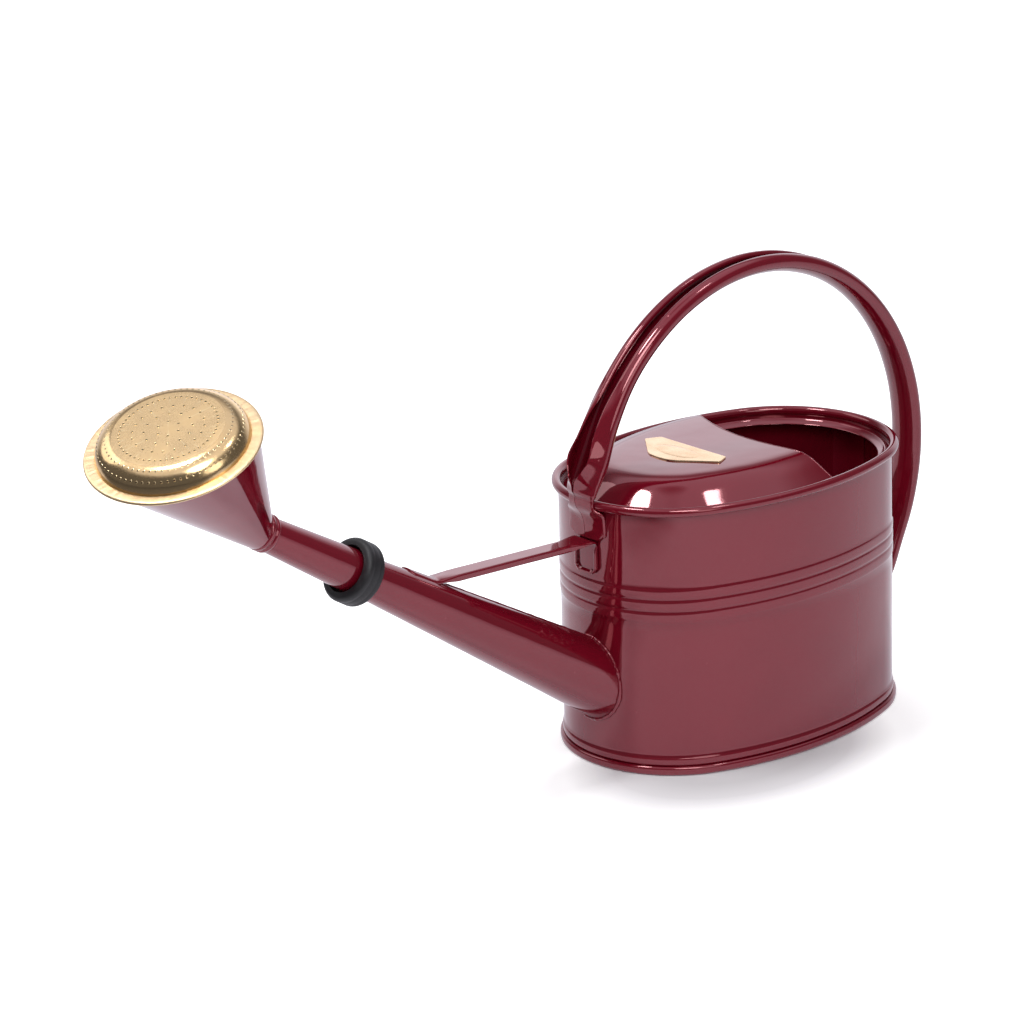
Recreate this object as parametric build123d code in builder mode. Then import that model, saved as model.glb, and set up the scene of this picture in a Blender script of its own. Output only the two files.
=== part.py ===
from build123d import *
import os
from math import acos, atan2, cos, degrees, radians, sin, tan

# Oval sheet-steel watering can. The origin is the middle of the base on the ground,
# +X points along the spout and +Z up. All sizes are in millimetres.

# Sheet and joints
sheet = 0.8  # steel sheet of the body, cover, spout and rose
solder_gap = 0.1  # gap that solder fills between two joined sheets
pull_gap = 0.35  # clearance between the rose or its ring and the spout

# Oval body
body_length = 231.0
body_width = 155.5
side_radius = 197.0  # plan radius of the two long sides
body_height = 170.0
rim_bead_radius = 3.0
rim_bead_offset = 0.85  # rim bead's centre outside the wall
rim_lip_gap = 0.4  # gap between the rolled lip and the wall
rib_drop = 54.6  # uppermost rib below the rim's top
rib_pitch = 7.4
rib_count = 3
rib_width = 7.0
rib_depth = 1.3

# Base
foot_rib_height = 8.8  # rib of the wall just above the base seam
foot_rib_width = 4.6
foot_rib_depth = 1.2
seam_height = 5.5  # folded seam that the can stands on
seam_depth = 2.5
seam_round = 1.8
base_recess = 6.0  # plate above the ground

# Cover with hood and filling mouth
cover_drop = 7.5  # cover's edge below the rim's top
hood_rise = 11.0  # crown above the rim's top
hood_slope = 41.0  # degrees
hood_crown_round = 24.0
hood_foot_round = 1.5
hood_crown_margin = 1.0  # flat stretch of the pressed shoulder
mouth_edge_x = -10.0  # middle of the hood's rear edge
mouth_edge_radius = 171.0
ledge_flat = 2.4  # first flat of the ledge, beside the rim
ledge_ridge_width = 2.4
ledge_ridge_height = 1.2
ledge_width = 8.4
ledge_dip = 1.2  # ledge's inner edge below its flat
ledge_lip = 0.5

# Brass plate on the hood
plate_rear_x = 27.8
plate_length = 29.4
plate_rear_width = 58.0
plate_width = 66.8
plate_widest = 9.4  # widest place, from the rear edge
plate_front_width = 25.0
plate_front_bow = 3.2
plate_sheet = 0.8

# Hoop handle
hoop_overhang = 21.8  # hoop's radius beyond half the body's length
handle_width = 22.5
handle_depth = 12.0
handle_sheet = 1.0
handle_slot = 11.0  # open slot along the hoop's outer side
hoop_front_angle = 41.0  # degrees above the horizontal where the front end starts to spread
front_straight_angle = 24.8  # degrees above the horizontal where the front end runs straight on
front_lean = 16.4  # how far the front end leans forwards from the hoop to the rim
front_rise = 1.1  # front end's meeting with the rim, above the rim's top
rear_weld_share = 0.206  # share of the body's height where the rear end meets the wall
spread_width = 30.0  # where the rolled tube stands widest open
spread_depth = 10.5
spread_slot = 17.0
closing_depth = 4.6  # tube nearly squashed flat
front_closing_share = 0.8  # share of the straight run where the tube is nearly flat
rear_spread_share = 0.4
rear_closing_share = 0.9
front_neck_width = 21.0  # front tab where it passes the rim
front_shoulder = 7.5  # height over which that tab spreads to its full width
tab_width = 31.0
rear_tab_length = 15.0
tab_corner = 4.5
tab_slit = 0.8
tab_lift = 1.0  # front tab's lower edge above the brace

# Spout
spout_slope = 32.2  # degrees
spout_root_height = 56.1  # spout's axis at the front wall
spout_root_radius = 22.2
spout_tip_radius = 9.9
spout_length = 246.0
spout_seam_width = 7.0
spout_seam_lift = 0.6
spout_seam_margin = 8.0  # end of the lap seam before the brace
spout_weld_width = 2.0
spout_weld_step = 1.0  # the bead narrows by this much away from the wall

# Brace between body and spout
brace_width = 19.0  # flat strip at the body
strap_width = 13.0  # the rest of the strip, with its edges folded down
brace_taper = 14.0
brace_flange = 3.9
brace_sheet = 1.0
brace_wall_drop = 25.5  # strap's top at the wall, below the rim's top
brace_spout_reach = 150.5  # along the spout, where the strap's top meets it
brace_spout_foot = 22.5
brace_foot_length = 21.0
brace_foot_flange = 3.0

# Rubber ring
ring_setback = 37.25  # ring's middle behind the spout's tip
ring_width = 14.0
ring_radius = 19.4
ring_round = 3.0
ring_recess_depth = 5.5
ring_groove = 0.5
ring_groove_spread = 2.2

# Rose
rose_turn = 15.7  # degrees, as the rose stands turned on the spout
stem_overhang = 36.0  # stem's end beyond the spout's tip
stem_end_radius = 10.0
stem_flare = 1.0
stem_flare_length = 2.5
collar_length = 6.5
collar_radius = 11.5
collar_round = 0.75
cone_flange = 2.0
face_overhang = 123.1  # middle of the face beyond the spout's tip, along its axis
face_rise = 24.0  # middle of the face, off the spout's axis
face_tilt = 39.1  # degrees between the face and the spout's axis
face_radius = 49.9
dome_flat_radius = 30.8
dome_shoulder = 12.7  # width of the rounded shoulder
dome_rise = 11.2  # height of that shoulder
face_sheet = 0.7
hem_depth = 1.0
hole_radius = 0.4
hole_circles = (6.5, 13.5, 20.0, 27.4, 35.3, 40.6)
hole_counts = (6, 12, 20, 54, 64, 72)

os.makedirs("parts", exist_ok=True)


def write_part(piece, name):
    """Label one finished piece and write it as a STEP file."""
    piece.label = name
    export_step(piece, f"parts/{name}.step")


# The body's plan is an oval of four tangent arcs: two round ends and two slightly bowed sides.
half_length = body_length / 2
half_width = body_width / 2
end_radius = (2 * side_radius * half_width - half_width**2 - half_length**2) / (2 * side_radius - body_length)
end_center = half_length - end_radius
side_center = side_radius - half_width
end_angle = degrees(atan2(side_center, end_center))
end_axis = Axis((end_center, 0, 0), (0, 0, -1))
side_axis = Axis((0, -side_center, 0), (0, 0, 1))
oval_plane = Plane(
    origin=(end_center, 0, 0),
    x_dir=(cos(radians(end_angle)), sin(radians(end_angle)), 0),
    z_dir=(sin(radians(end_angle)), -cos(radians(end_angle)), 0),
)


def oval_outline(grow):
    """Four arcs of the body's plan, moved outwards by grow."""
    side_half_angle = 90 - end_angle
    CenterArc((end_center, 0), end_radius + grow, -end_angle, 2 * end_angle)
    CenterArc((0, -side_center), side_radius + grow, end_angle, 2 * side_half_angle)
    CenterArc((-end_center, 0), end_radius + grow, 180 - end_angle, 2 * end_angle)
    CenterArc((0, side_center), side_radius + grow, 180 + end_angle, 2 * side_half_angle)


def around_oval(section):
    """Carry a section, drawn where an end arc meets a side arc, all the way round the body."""
    revolve(section, axis=end_axis, revolution_arc=end_angle)
    revolve(section, axis=side_axis, revolution_arc=90 - end_angle)
    mirror(about=Plane.YZ)
    mirror(about=Plane.XZ)


def wall_point(outwards, height):
    """Point of a section, measured from the wall's outer face and from the ground."""
    return (end_radius + outwards, height)


# Body wall: one strip with pressed ribs and a rim rolled over a wire
bead_height = body_height - rim_bead_radius
seam_floor = 2 * sheet
ribs = [(body_height - rib_drop - rib_pitch * i, rib_width, rib_depth) for i in range(rib_count)]
ribs.append((foot_rib_height, foot_rib_width, foot_rib_depth))
with BuildSketch(oval_plane) as wall_section:
    with BuildLine():
        Polyline(
            wall_point(0, seam_floor),
            wall_point(0, bead_height),
            wall_point(-sheet, bead_height),
            wall_point(-sheet, seam_floor),
            close=True,
        )
    make_face()
    for height, width, depth in ribs:
        for face_offset, rib_mode in ((0, Mode.ADD), (-sheet, Mode.SUBTRACT)):
            with BuildLine():
                rib_arc = ThreePointArc(
                    wall_point(face_offset, height - width / 2),
                    wall_point(face_offset + depth, height),
                    wall_point(face_offset, height + width / 2),
                )
                Line(rib_arc @ 1, rib_arc @ 0)
            make_face(mode=rib_mode)
    with Locations(wall_point(rim_bead_offset, bead_height)):
        Circle(rim_bead_radius)
        Circle(rim_bead_radius - sheet, mode=Mode.SUBTRACT)
    with Locations(wall_point(rim_lip_gap / 2, bead_height - rim_bead_radius)):
        Rectangle(rim_lip_gap, 2 * rim_bead_radius - sheet, mode=Mode.SUBTRACT)

spout_direction = Vector(cos(radians(spout_slope)), 0, sin(radians(spout_slope)))
spout_root = Vector(half_length, 0, spout_root_height)
spout_axis = Axis(spout_root, spout_direction)
spout_plane = Plane(origin=spout_root, x_dir=spout_direction, z_dir=(0, -1, 0))
spout_under_plane = Plane(origin=spout_root, x_dir=spout_direction, z_dir=(0, 1, 0))
spout_top_plane = Plane(origin=spout_root, x_dir=spout_direction, z_dir=spout_plane.y_dir)
spout_inside = -2 * spout_root_radius  # far enough back to start inside the body


def spout_radius(reach):
    """Outer radius of the spout at a reach along its axis."""
    return spout_root_radius + (spout_tip_radius - spout_root_radius) * reach / spout_length


with BuildSketch(spout_under_plane) as spout_bore_section:
    with BuildLine():
        Polyline(
            (spout_inside, 0),
            (spout_inside, spout_radius(spout_inside) - sheet),
            (spout_length + sheet, spout_radius(spout_length + sheet) - sheet),
            (spout_length + sheet, 0),
            close=True,
        )
    make_face()
with BuildPart() as spout_bore:
    revolve(spout_bore_section.sketch, axis=spout_axis)

with BuildSketch(Plane.XY) as body_plan:
    with BuildLine():
        oval_outline(solder_gap)
    make_face()
with BuildPart() as body_space:
    extrude(body_plan.sketch, amount=body_height)

with BuildSketch(Plane.XY.offset(bead_height - rim_bead_radius)) as rim_plan:
    with BuildLine():
        oval_outline(rim_bead_offset + rim_bead_radius + solder_gap)
    make_face()
with BuildPart() as rim_space:
    extrude(rim_plan.sketch, amount=2 * rim_bead_radius + solder_gap)

with BuildPart() as body_wall:
    around_oval(wall_section.sketch)
    add(spout_bore.part, mode=Mode.SUBTRACT)
write_part(body_wall.part, "body_wall")

# Rim wire
with BuildPart() as rim_wire:
    with BuildLine(Plane.XY.offset(bead_height)) as wire_path:
        oval_outline(rim_bead_offset)
    wire_line = wire_path.wire()
    with BuildSketch(Plane(origin=wire_line @ 0, z_dir=wire_line % 0)):
        Circle(rim_bead_radius - sheet - solder_gap)
    sweep(path=wire_line)
write_part(rim_wire.part, "rim_wire")

# Base plate: its edge is folded over the wall's lower edge, and the can stands on that seam
skirt_outer = -sheet - solder_gap
skirt_inner = skirt_outer - 2 * sheet
plate_top = base_recess + sheet
with BuildSketch(oval_plane) as seam_section:
    with BuildLine():
        Polyline(
            wall_point(skirt_inner, 0),
            wall_point(seam_depth, 0),
            wall_point(seam_depth, seam_height),
            wall_point(skirt_outer, seam_height),
            wall_point(skirt_outer, plate_top),
            wall_point(skirt_inner, plate_top),
            close=True,
        )
    make_face()
    fillet(seam_section.vertices().group_by(Axis.X)[-1], seam_round)
    with BuildLine():
        Polyline(
            wall_point(skirt_outer, seam_floor - solder_gap),
            wall_point(solder_gap, seam_floor - solder_gap),
            wall_point(solder_gap, plate_top),
            wall_point(skirt_outer, plate_top),
            close=True,
        )
    make_face(mode=Mode.SUBTRACT)
with BuildSketch(Plane.XY.offset(base_recess)) as base_plan:
    with BuildLine():
        oval_outline((skirt_inner + skirt_outer) / 2)
    make_face()
with BuildPart() as base_plate:
    around_oval(seam_section.sketch)
    extrude(base_plan.sketch, amount=sheet)
write_part(base_plate.part, "base_plate")

# Hood: a pressed cover over the front half of the body
cover_height = body_height - cover_drop
crown_height = body_height + hood_rise
cover_edge = -sheet - solder_gap
hood_foot = rim_bead_offset - rim_bead_radius - solder_gap
hood_corner = hood_foot - (crown_height - cover_height) / tan(radians(hood_slope))
crown_edge = hood_corner - hood_crown_round * tan(radians(hood_slope / 2)) - hood_crown_margin
with BuildSketch(oval_plane) as hood_section:
    with BuildLine():
        hood_line = FilletPolyline(
            wall_point(cover_edge, cover_height),
            wall_point(hood_foot, cover_height),
            wall_point(hood_corner, crown_height),
            wall_point(crown_edge, crown_height),
            radius=(hood_foot_round, hood_crown_round),
        )
        offset(hood_line, amount=sheet, side=Side.LEFT)
    make_face()
with BuildSketch(Plane.XY.offset(crown_height - sheet)) as crown_plan:
    with BuildLine():
        oval_outline(crown_edge)
    make_face()
with BuildSketch(Plane.XY) as mouth_plan:
    with Locations((mouth_edge_x - mouth_edge_radius, 0)):
        Circle(mouth_edge_radius)
with BuildPart() as hood:
    around_oval(hood_section.sketch)
    extrude(crown_plan.sketch, amount=sheet)
    extrude(mouth_plan.sketch, amount=2 * body_height, mode=Mode.SUBTRACT)
write_part(hood.part, "hood")

# Ledge: a stepped strip round the filling mouth behind the hood
ridge_start = cover_edge - ledge_flat
with BuildSketch(Plane.XY) as ledge_plan:
    with Locations((mouth_edge_x - mouth_edge_radius, 0)):
        Circle(mouth_edge_radius - solder_gap)
with BuildSketch(oval_plane) as ledge_section:
    with BuildLine():
        ledge_line = Polyline(
            wall_point(cover_edge, cover_height),
            wall_point(ridge_start, cover_height),
            wall_point(ridge_start - ledge_ridge_width / 2, cover_height + ledge_ridge_height),
            wall_point(ridge_start - ledge_ridge_width, cover_height),
            wall_point(cover_edge - ledge_width, cover_height - ledge_dip),
            wall_point(cover_edge - ledge_width, cover_height - ledge_dip - ledge_lip),
        )
        offset(ledge_line, amount=sheet, side=Side.LEFT)
    make_face()
with BuildPart() as mouth_ledge:
    around_oval(ledge_section.sketch)
    extrude(ledge_plan.sketch, amount=body_height, mode=Mode.INTERSECT)
write_part(mouth_ledge.part, "mouth_ledge")

# Brass plate, bare
with BuildSketch(Plane.XY.offset(crown_height)) as plate_plan:
    with BuildLine():
        plate_corners = (
            (plate_rear_x, plate_rear_width / 2),
            (plate_rear_x + plate_widest, plate_width / 2),
            (plate_rear_x + plate_length - plate_front_bow, plate_front_width / 2),
        )
        Polyline(*plate_corners)
        ThreePointArc(
            plate_corners[2],
            (plate_rear_x + plate_length, 0),
            (plate_corners[2][0], -plate_corners[2][1]),
        )
        Polyline(*[(x, -y) for x, y in reversed(plate_corners)])
        Line((plate_rear_x, -plate_rear_width / 2), plate_corners[0])
    make_face()
with BuildPart() as name_plate:
    extrude(plate_plan.sketch, amount=plate_sheet)
write_part(name_plate.part, "name_plate")

# Handle: a rolled hoop, open along its outer side, squashed flat where it is welded to the body
tab_depth = 2 * handle_sheet
bead_reach = half_length + rim_bead_offset + rim_bead_radius
brace_wall_height = body_height - brace_wall_drop
hoop_radius = half_length + hoop_overhang
front_weld_x = bead_reach + solder_gap + tab_depth / 2
front_drop = front_lean / tan(radians(front_straight_angle))
hoop_x = front_weld_x - front_lean - hoop_radius * cos(radians(front_straight_angle))
hoop_z = body_height + front_rise + front_drop - hoop_radius * sin(radians(front_straight_angle))
hoop_axis = Axis((hoop_x, 0, hoop_z), (0, -1, 0))
rear_weld_x = -half_length - solder_gap - tab_depth / 2
rear_way = Vector(rear_weld_x - hoop_x, 0, rear_weld_share * body_height - hoop_z)
rear_way_angle = 360 + degrees(atan2(rear_way.Z, rear_way.X))
hoop_rear_angle = rear_way_angle - degrees(acos(hoop_radius / rear_way.length))


def hoop_plane(angle):
    """Section plane of the hoop: local x across the can, local y away from the hoop's middle."""
    outwards = Vector(cos(radians(angle)), 0, sin(radians(angle)))
    origin = Vector(hoop_x, 0, hoop_z) + outwards * hoop_radius
    return Plane(origin=origin, x_dir=(0, 1, 0), z_dir=Vector(0, 1, 0).cross(outwards))


def end_plane(angle, distance, turn):
    """Section plane a distance along the straight run beyond the hoop, turn being 1 or -1."""
    start = hoop_plane(angle)
    return Plane(origin=start.origin - start.z_dir * turn * distance, x_dir=(0, 1, 0), z_dir=start.z_dir)


def slot_plane(angle, turn):
    """Plane touching the hoop's middle line: local x along it towards the end, z outwards."""
    start = hoop_plane(angle)
    return Plane(origin=start.origin, x_dir=start.z_dir * -turn, z_dir=start.y_dir)


def run_to(x, angle, turn):
    """Length of the straight run from the hoop to a given x."""
    start = hoop_plane(angle)
    return (start.origin.X - x) / (start.z_dir.X * turn)


def squashed_end(sections, slots):
    """Hollow run through sections of a plane, width and depth, with its outer side slit."""
    with BuildPart() as squashed:
        for plane, width, depth in sections:
            with BuildSketch(plane):
                SlotOverall(width, depth)
        loft()
        for plane, width, depth in sections[:-1]:
            with BuildSketch(plane):
                SlotOverall(width - 2 * handle_sheet, depth - 2 * handle_sheet)
        loft(mode=Mode.SUBTRACT)
        for plane, start_x, start_width, end_x, end_width in slots:
            with BuildSketch(plane):
                with BuildLine():
                    Polyline(
                        (start_x, -start_width / 2),
                        (end_x, -end_width / 2),
                        (end_x, end_width / 2),
                        (start_x, start_width / 2),
                        close=True,
                    )
                make_face()
            extrude(amount=handle_depth, mode=Mode.SUBTRACT)
    return squashed.part


def tab_strip(face, side, inner, outer):
    """Outline, seen from the side, of a strip between two depths outside the tab's inner face."""
    back = [(x + side * inner, z) for x, z in face]
    front = [(x + side * outer, z) for x, z in reversed(face)]
    Polyline(*back, *front, close=True)


def flattened_tab(face, side, neck_width, shoulder_top):
    """Tab bent round the body's end, necked at its top, with a slit where the tube's lips meet."""
    top = face[0][1]
    bottom = face[-1][1]
    half = tab_width / 2
    outline = [
        (neck_width / 2, top),
        (neck_width / 2, shoulder_top),
        (half, shoulder_top - front_shoulder),
        (half, bottom + tab_corner),
        (half - tab_corner, bottom),
    ]
    with BuildPart() as tab:
        with BuildSketch(Plane.XZ):
            with BuildLine():
                tab_strip(face, side, 0, tab_depth)
            make_face()
        revolve(axis=Axis((side * end_center, 0, 0), (0, 0, 1)))
        with BuildSketch(Plane.YZ.offset(side * end_center)):
            with BuildLine():
                Polyline(*outline, *[(-y, z) for y, z in reversed(outline)], close=True)
            make_face()
        extrude(amount=side * body_length, mode=Mode.INTERSECT)
        with BuildSketch(Plane.XZ):
            with BuildLine():
                tab_strip(face, side, handle_sheet, tab_depth + handle_sheet)
            make_face()
        extrude(amount=tab_slit / 2, both=True, mode=Mode.SUBTRACT)
    return tab.part


front_run = run_to(front_weld_x, front_straight_angle, -1)
rear_run = run_to(rear_weld_x, hoop_rear_angle, 1)
front_end = end_plane(front_straight_angle, front_run, -1)
rear_end = end_plane(hoop_rear_angle, rear_run, 1)
front_middle_angle = (hoop_front_angle + front_straight_angle) / 2
front_half_arc = hoop_radius * radians(hoop_front_angle - front_middle_angle)
front_sections = (
    (hoop_plane(hoop_front_angle), handle_width, handle_depth),
    (hoop_plane(front_middle_angle), (handle_width + spread_width) / 2, (handle_depth + spread_depth) / 2),
    (hoop_plane(front_straight_angle), spread_width, spread_depth),
    (
        end_plane(front_straight_angle, front_run * front_closing_share, -1),
        front_neck_width + tab_depth,
        closing_depth,
    ),
    (front_end, front_neck_width, tab_depth),
)
front_slots = (
    (slot_plane(front_middle_angle, -1), -front_half_arc, handle_slot, front_half_arc, spread_slot),
    (slot_plane(front_straight_angle, -1), 0, spread_slot, front_run * front_closing_share, tab_slit),
)
rear_sections = (
    (hoop_plane(hoop_rear_angle), handle_width, handle_depth),
    (end_plane(hoop_rear_angle, rear_run * rear_spread_share, 1), tab_width, spread_depth),
    (end_plane(hoop_rear_angle, rear_run * rear_closing_share, 1), tab_width, closing_depth),
    (rear_end, tab_width, tab_depth),
)
rear_slots = (
    (slot_plane(hoop_rear_angle, 1), 0, handle_slot, rear_run * rear_spread_share, spread_slot),
    (
        slot_plane(hoop_rear_angle, 1),
        rear_run * rear_spread_share,
        spread_slot,
        rear_run * rear_closing_share,
        tab_slit,
    ),
)
rim_bottom = bead_height - rim_bead_radius
front_tab_face = (
    (bead_reach + solder_gap, front_end.origin.Z + tab_depth / 2),
    (bead_reach + solder_gap, bead_height - rim_bead_radius / 2),
    (half_length + solder_gap, rim_bottom - rim_bead_radius),
    (half_length + solder_gap, brace_wall_height + tab_lift),
)
rear_tab_face = (
    (-half_length - solder_gap, rear_end.origin.Z + tab_depth),
    (-half_length - solder_gap, rear_end.origin.Z - rear_tab_length),
)
with BuildSketch(hoop_plane(hoop_front_angle)) as hoop_section:
    SlotOverall(handle_width, handle_depth)
    SlotOverall(handle_width - 2 * handle_sheet, handle_depth - 2 * handle_sheet, mode=Mode.SUBTRACT)
    with Locations((0, handle_depth / 2)):
        Rectangle(handle_slot, handle_depth, mode=Mode.SUBTRACT)
with BuildPart() as handle:
    revolve(hoop_section.sketch, axis=hoop_axis, revolution_arc=hoop_rear_angle - hoop_front_angle)
    add(squashed_end(front_sections, front_slots))
    add(squashed_end(rear_sections, rear_slots))
    add(rim_space.part, mode=Mode.SUBTRACT)
    add(flattened_tab(front_tab_face, 1, front_neck_width, rim_bottom))
    add(flattened_tab(rear_tab_face, -1, tab_width, rear_end.origin.Z))
write_part(handle.part, "handle")


def cone_strip(start, end, inner, outer):
    """Half outline of a sleeve round the spout, between two depths outside its outer face."""
    Polyline(
        (start, spout_radius(start) + inner),
        (end, spout_radius(end) + inner),
        (end, spout_radius(end) + outer),
        (start, spout_radius(start) + outer),
        close=True,
    )


def top_band(width):
    """Band of a given width along the top of the spout, seen square to the spout's axis."""
    with Locations((spout_length / 2, 0)):
        Rectangle(2 * spout_length, width)


# Spout: a tapered tube cut to the body's wall, with the raised lap of its seam along the top
spout_seam_end = brace_spout_reach - spout_seam_margin
with BuildPart() as spout_seam:
    with BuildSketch(spout_under_plane):
        with BuildLine():
            cone_strip(spout_root_radius, spout_seam_end, -sheet / 2, spout_seam_lift)
        make_face()
    revolve(axis=spout_axis)
    with BuildSketch(spout_top_plane):
        top_band(spout_seam_width)
    extrude(amount=2 * spout_root_radius, mode=Mode.INTERSECT)
with BuildPart() as spout:
    with BuildSketch(spout_under_plane):
        with BuildLine():
            cone_strip(spout_inside, spout_length, -sheet, 0)
        make_face()
    revolve(axis=spout_axis)
    add(spout_seam.part)
    add(body_space.part, mode=Mode.SUBTRACT)
write_part(spout.part, "spout")

# Weld bead round the spout's root, wide on the wall and narrower away from it
weld_top = spout_weld_width - spout_weld_step


def weld_ring(height, outer):
    """Ring of filler round the spout, reaching a height off the wall and out from the spout."""
    with BuildSketch(Plane.XY) as weld_plan:
        with BuildLine():
            oval_outline(height)
        make_face()
    with BuildPart() as ring:
        with BuildSketch(spout_under_plane):
            with BuildLine():
                cone_strip(-spout_root_radius, spout_root_radius, solder_gap, outer)
            make_face()
        revolve(axis=spout_axis)
        add(body_space.part, mode=Mode.SUBTRACT)
        extrude(weld_plan.sketch, amount=body_height, mode=Mode.INTERSECT)
    return ring.part


with BuildPart() as spout_weld:
    add(weld_ring(weld_top, spout_weld_width))
    add(weld_ring(spout_weld_width, weld_top))
write_part(spout_weld.part, "spout_weld")

# Brace: a strip with folded edges, one end turned down on the body and the other along the spout
brace_foot_middle = brace_wall_height - brace_foot_length / 2
with BuildPart() as brace_room:
    with BuildSketch(spout_plane):
        with BuildLine():
            Polyline(
                (0, 0),
                (0, spout_radius(0) + solder_gap),
                (spout_length, spout_radius(spout_length) + solder_gap),
                (spout_length, 0),
                close=True,
            )
        make_face()
    revolve(axis=spout_axis)
strap_start = Vector(half_length, 0, brace_wall_height)
strap_end_radius = spout_radius(brace_spout_reach) + solder_gap
strap_end = spout_plane.from_local_coords((brace_spout_reach, strap_end_radius, 0))
strap_line = strap_end - strap_start
strap_length = strap_line.length + brace_flange
strap_plane = Plane(origin=strap_start, x_dir=strap_line, z_dir=(-strap_line.Z, 0, strap_line.X))
with BuildPart() as spout_foot:
    with BuildSketch(spout_plane):
        with BuildLine():
            cone_strip(
                brace_spout_reach - brace_flange,
                brace_spout_reach + brace_spout_foot,
                solder_gap,
                solder_gap + brace_sheet,
            )
        make_face()
    revolve(axis=spout_axis)
    with BuildSketch(spout_top_plane):
        top_band(strap_width)
    extrude(amount=2 * spout_root_radius, mode=Mode.INTERSECT)
with BuildPart() as body_foot:
    with BuildSketch(Plane.YZ.offset(end_center)):
        with Locations((0, brace_foot_middle)):
            Rectangle(brace_width, brace_foot_length)
    extrude(amount=end_radius + brace_foot_flange)
    with BuildSketch(Plane.YZ.offset(half_length + brace_sheet + solder_gap)):
        with Locations((0, brace_foot_middle)):
            Rectangle(brace_width - 2 * brace_sheet, brace_foot_length)
    extrude(amount=brace_foot_flange, mode=Mode.SUBTRACT)
with BuildPart() as brace:
    with BuildSketch(strap_plane):
        with BuildLine():
            Polyline(
                (0, -brace_width / 2),
                (brace_taper, -strap_width / 2),
                (strap_length, -strap_width / 2),
                (strap_length, strap_width / 2),
                (brace_taper, strap_width / 2),
                (0, brace_width / 2),
                close=True,
            )
        make_face()
    extrude(amount=-brace_sheet)
    with BuildSketch(strap_plane):
        with Locations(((brace_taper + strap_length) / 2, 0)):
            Rectangle(strap_length - brace_taper, strap_width)
            Rectangle(strap_length - brace_taper, strap_width - 2 * brace_sheet, mode=Mode.SUBTRACT)
    extrude(amount=-brace_flange)
    add(body_foot.part)
    add(brace_room.part, mode=Mode.SUBTRACT)
    add(spout_foot.part)
    add(body_space.part, mode=Mode.SUBTRACT)
write_part(brace.part, "brace")

# Rubber ring that seals the rose on the spout
ring_middle = spout_length - ring_setback
ring_rear = ring_middle - ring_width / 2
ring_front = ring_middle + ring_width / 2
ring_bore = spout_radius(ring_rear) + pull_gap
stem_start = ring_front - ring_recess_depth + pull_gap
stem_end = spout_length + stem_overhang
stem_mouth_radius = spout_radius(stem_start) + pull_gap + sheet


def stem_radius(reach):
    """Outer radius of the rose's stem at a reach along the spout's axis."""
    share = (reach - stem_start) / (stem_end - stem_start)
    return stem_mouth_radius + (stem_end_radius - stem_mouth_radius) * share


recess_radius = stem_radius(stem_start) + stem_flare + pull_gap
with BuildPart() as seal_ring:
    with BuildSketch(spout_plane) as ring_section:
        with Locations((ring_middle, (ring_bore + ring_radius) / 2)):
            Rectangle(ring_width, ring_radius - ring_bore)
        fillet(ring_section.vertices().group_by(Axis.Y)[-1], ring_round)
        with Locations((ring_front - ring_recess_depth / 2, (ring_bore + recess_radius) / 2)):
            Rectangle(ring_recess_depth, recess_radius - ring_bore, mode=Mode.SUBTRACT)
        for groove_side in (-1, 1):
            with Locations((ring_middle + groove_side * ring_groove_spread, ring_radius)):
                Circle(ring_groove, mode=Mode.SUBTRACT)
    revolve(axis=spout_axis)
write_part(seal_ring.part, "seal_ring")

# Rose stem: a tapered sleeve with a flared mouth, pushed over the spout's tip
with BuildPart() as rose_stem:
    with BuildSketch(spout_plane):
        with BuildLine():
            Polyline(
                (stem_start, stem_radius(stem_start) + stem_flare - sheet),
                (stem_start + stem_flare_length, stem_radius(stem_start + stem_flare_length) - sheet),
                (stem_end, stem_radius(stem_end) - sheet),
                (stem_end, stem_radius(stem_end)),
                (stem_start + stem_flare_length, stem_radius(stem_start + stem_flare_length)),
                (stem_start, stem_radius(stem_start) + stem_flare),
                close=True,
            )
        make_face()
    revolve(axis=spout_axis)
write_part(rose_stem.part, "rose_stem")

# Collar that joins stem and cone
collar_start = stem_end - collar_length / 2
collar_end = stem_end + collar_length / 2
collar_bore = stem_radius(collar_start) + solder_gap
with BuildPart() as rose_collar:
    with BuildSketch(spout_plane) as collar_section:
        with Locations((stem_end, (collar_bore + collar_radius) / 2)):
            Rectangle(collar_length, collar_radius - collar_bore)
        fillet(collar_section.vertices().group_by(Axis.Y)[-1], collar_round)
    revolve(axis=spout_axis)
write_part(rose_collar.part, "rose_collar")

# The rose's own planes: it stands turned about the spout's axis, and its face is tilted up
rose_side = spout_plane.z_dir * cos(radians(rose_turn)) + spout_plane.y_dir * sin(radians(rose_turn))
rose_plane = Plane(origin=spout_root, x_dir=spout_direction, z_dir=rose_side)
face_reach = spout_length + face_overhang
face_center = rose_plane.from_local_coords((face_reach, face_rise, 0))
tilt_cos = cos(radians(face_tilt))
tilt_sin = sin(radians(face_tilt))
face_normal = rose_plane.x_dir * tilt_cos + rose_plane.y_dir * tilt_sin
face_up = rose_plane.y_dir * tilt_cos - rose_plane.x_dir * tilt_sin
face_axis = Axis(face_center, face_normal)
face_plane = Plane(origin=face_center, x_dir=face_up, z_dir=face_normal)
face_section_plane = Plane(origin=face_center, x_dir=face_up, z_dir=face_up.cross(face_normal))
neck_plane = Plane(
    origin=rose_plane.from_local_coords((collar_end, 0, 0)),
    x_dir=rose_plane.y_dir,
    z_dir=rose_plane.x_dir,
)
hem_inner = face_radius - face_sheet
cone_flange_radius = hem_inner - solder_gap
cone_rim_radius = cone_flange_radius - cone_flange


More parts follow.
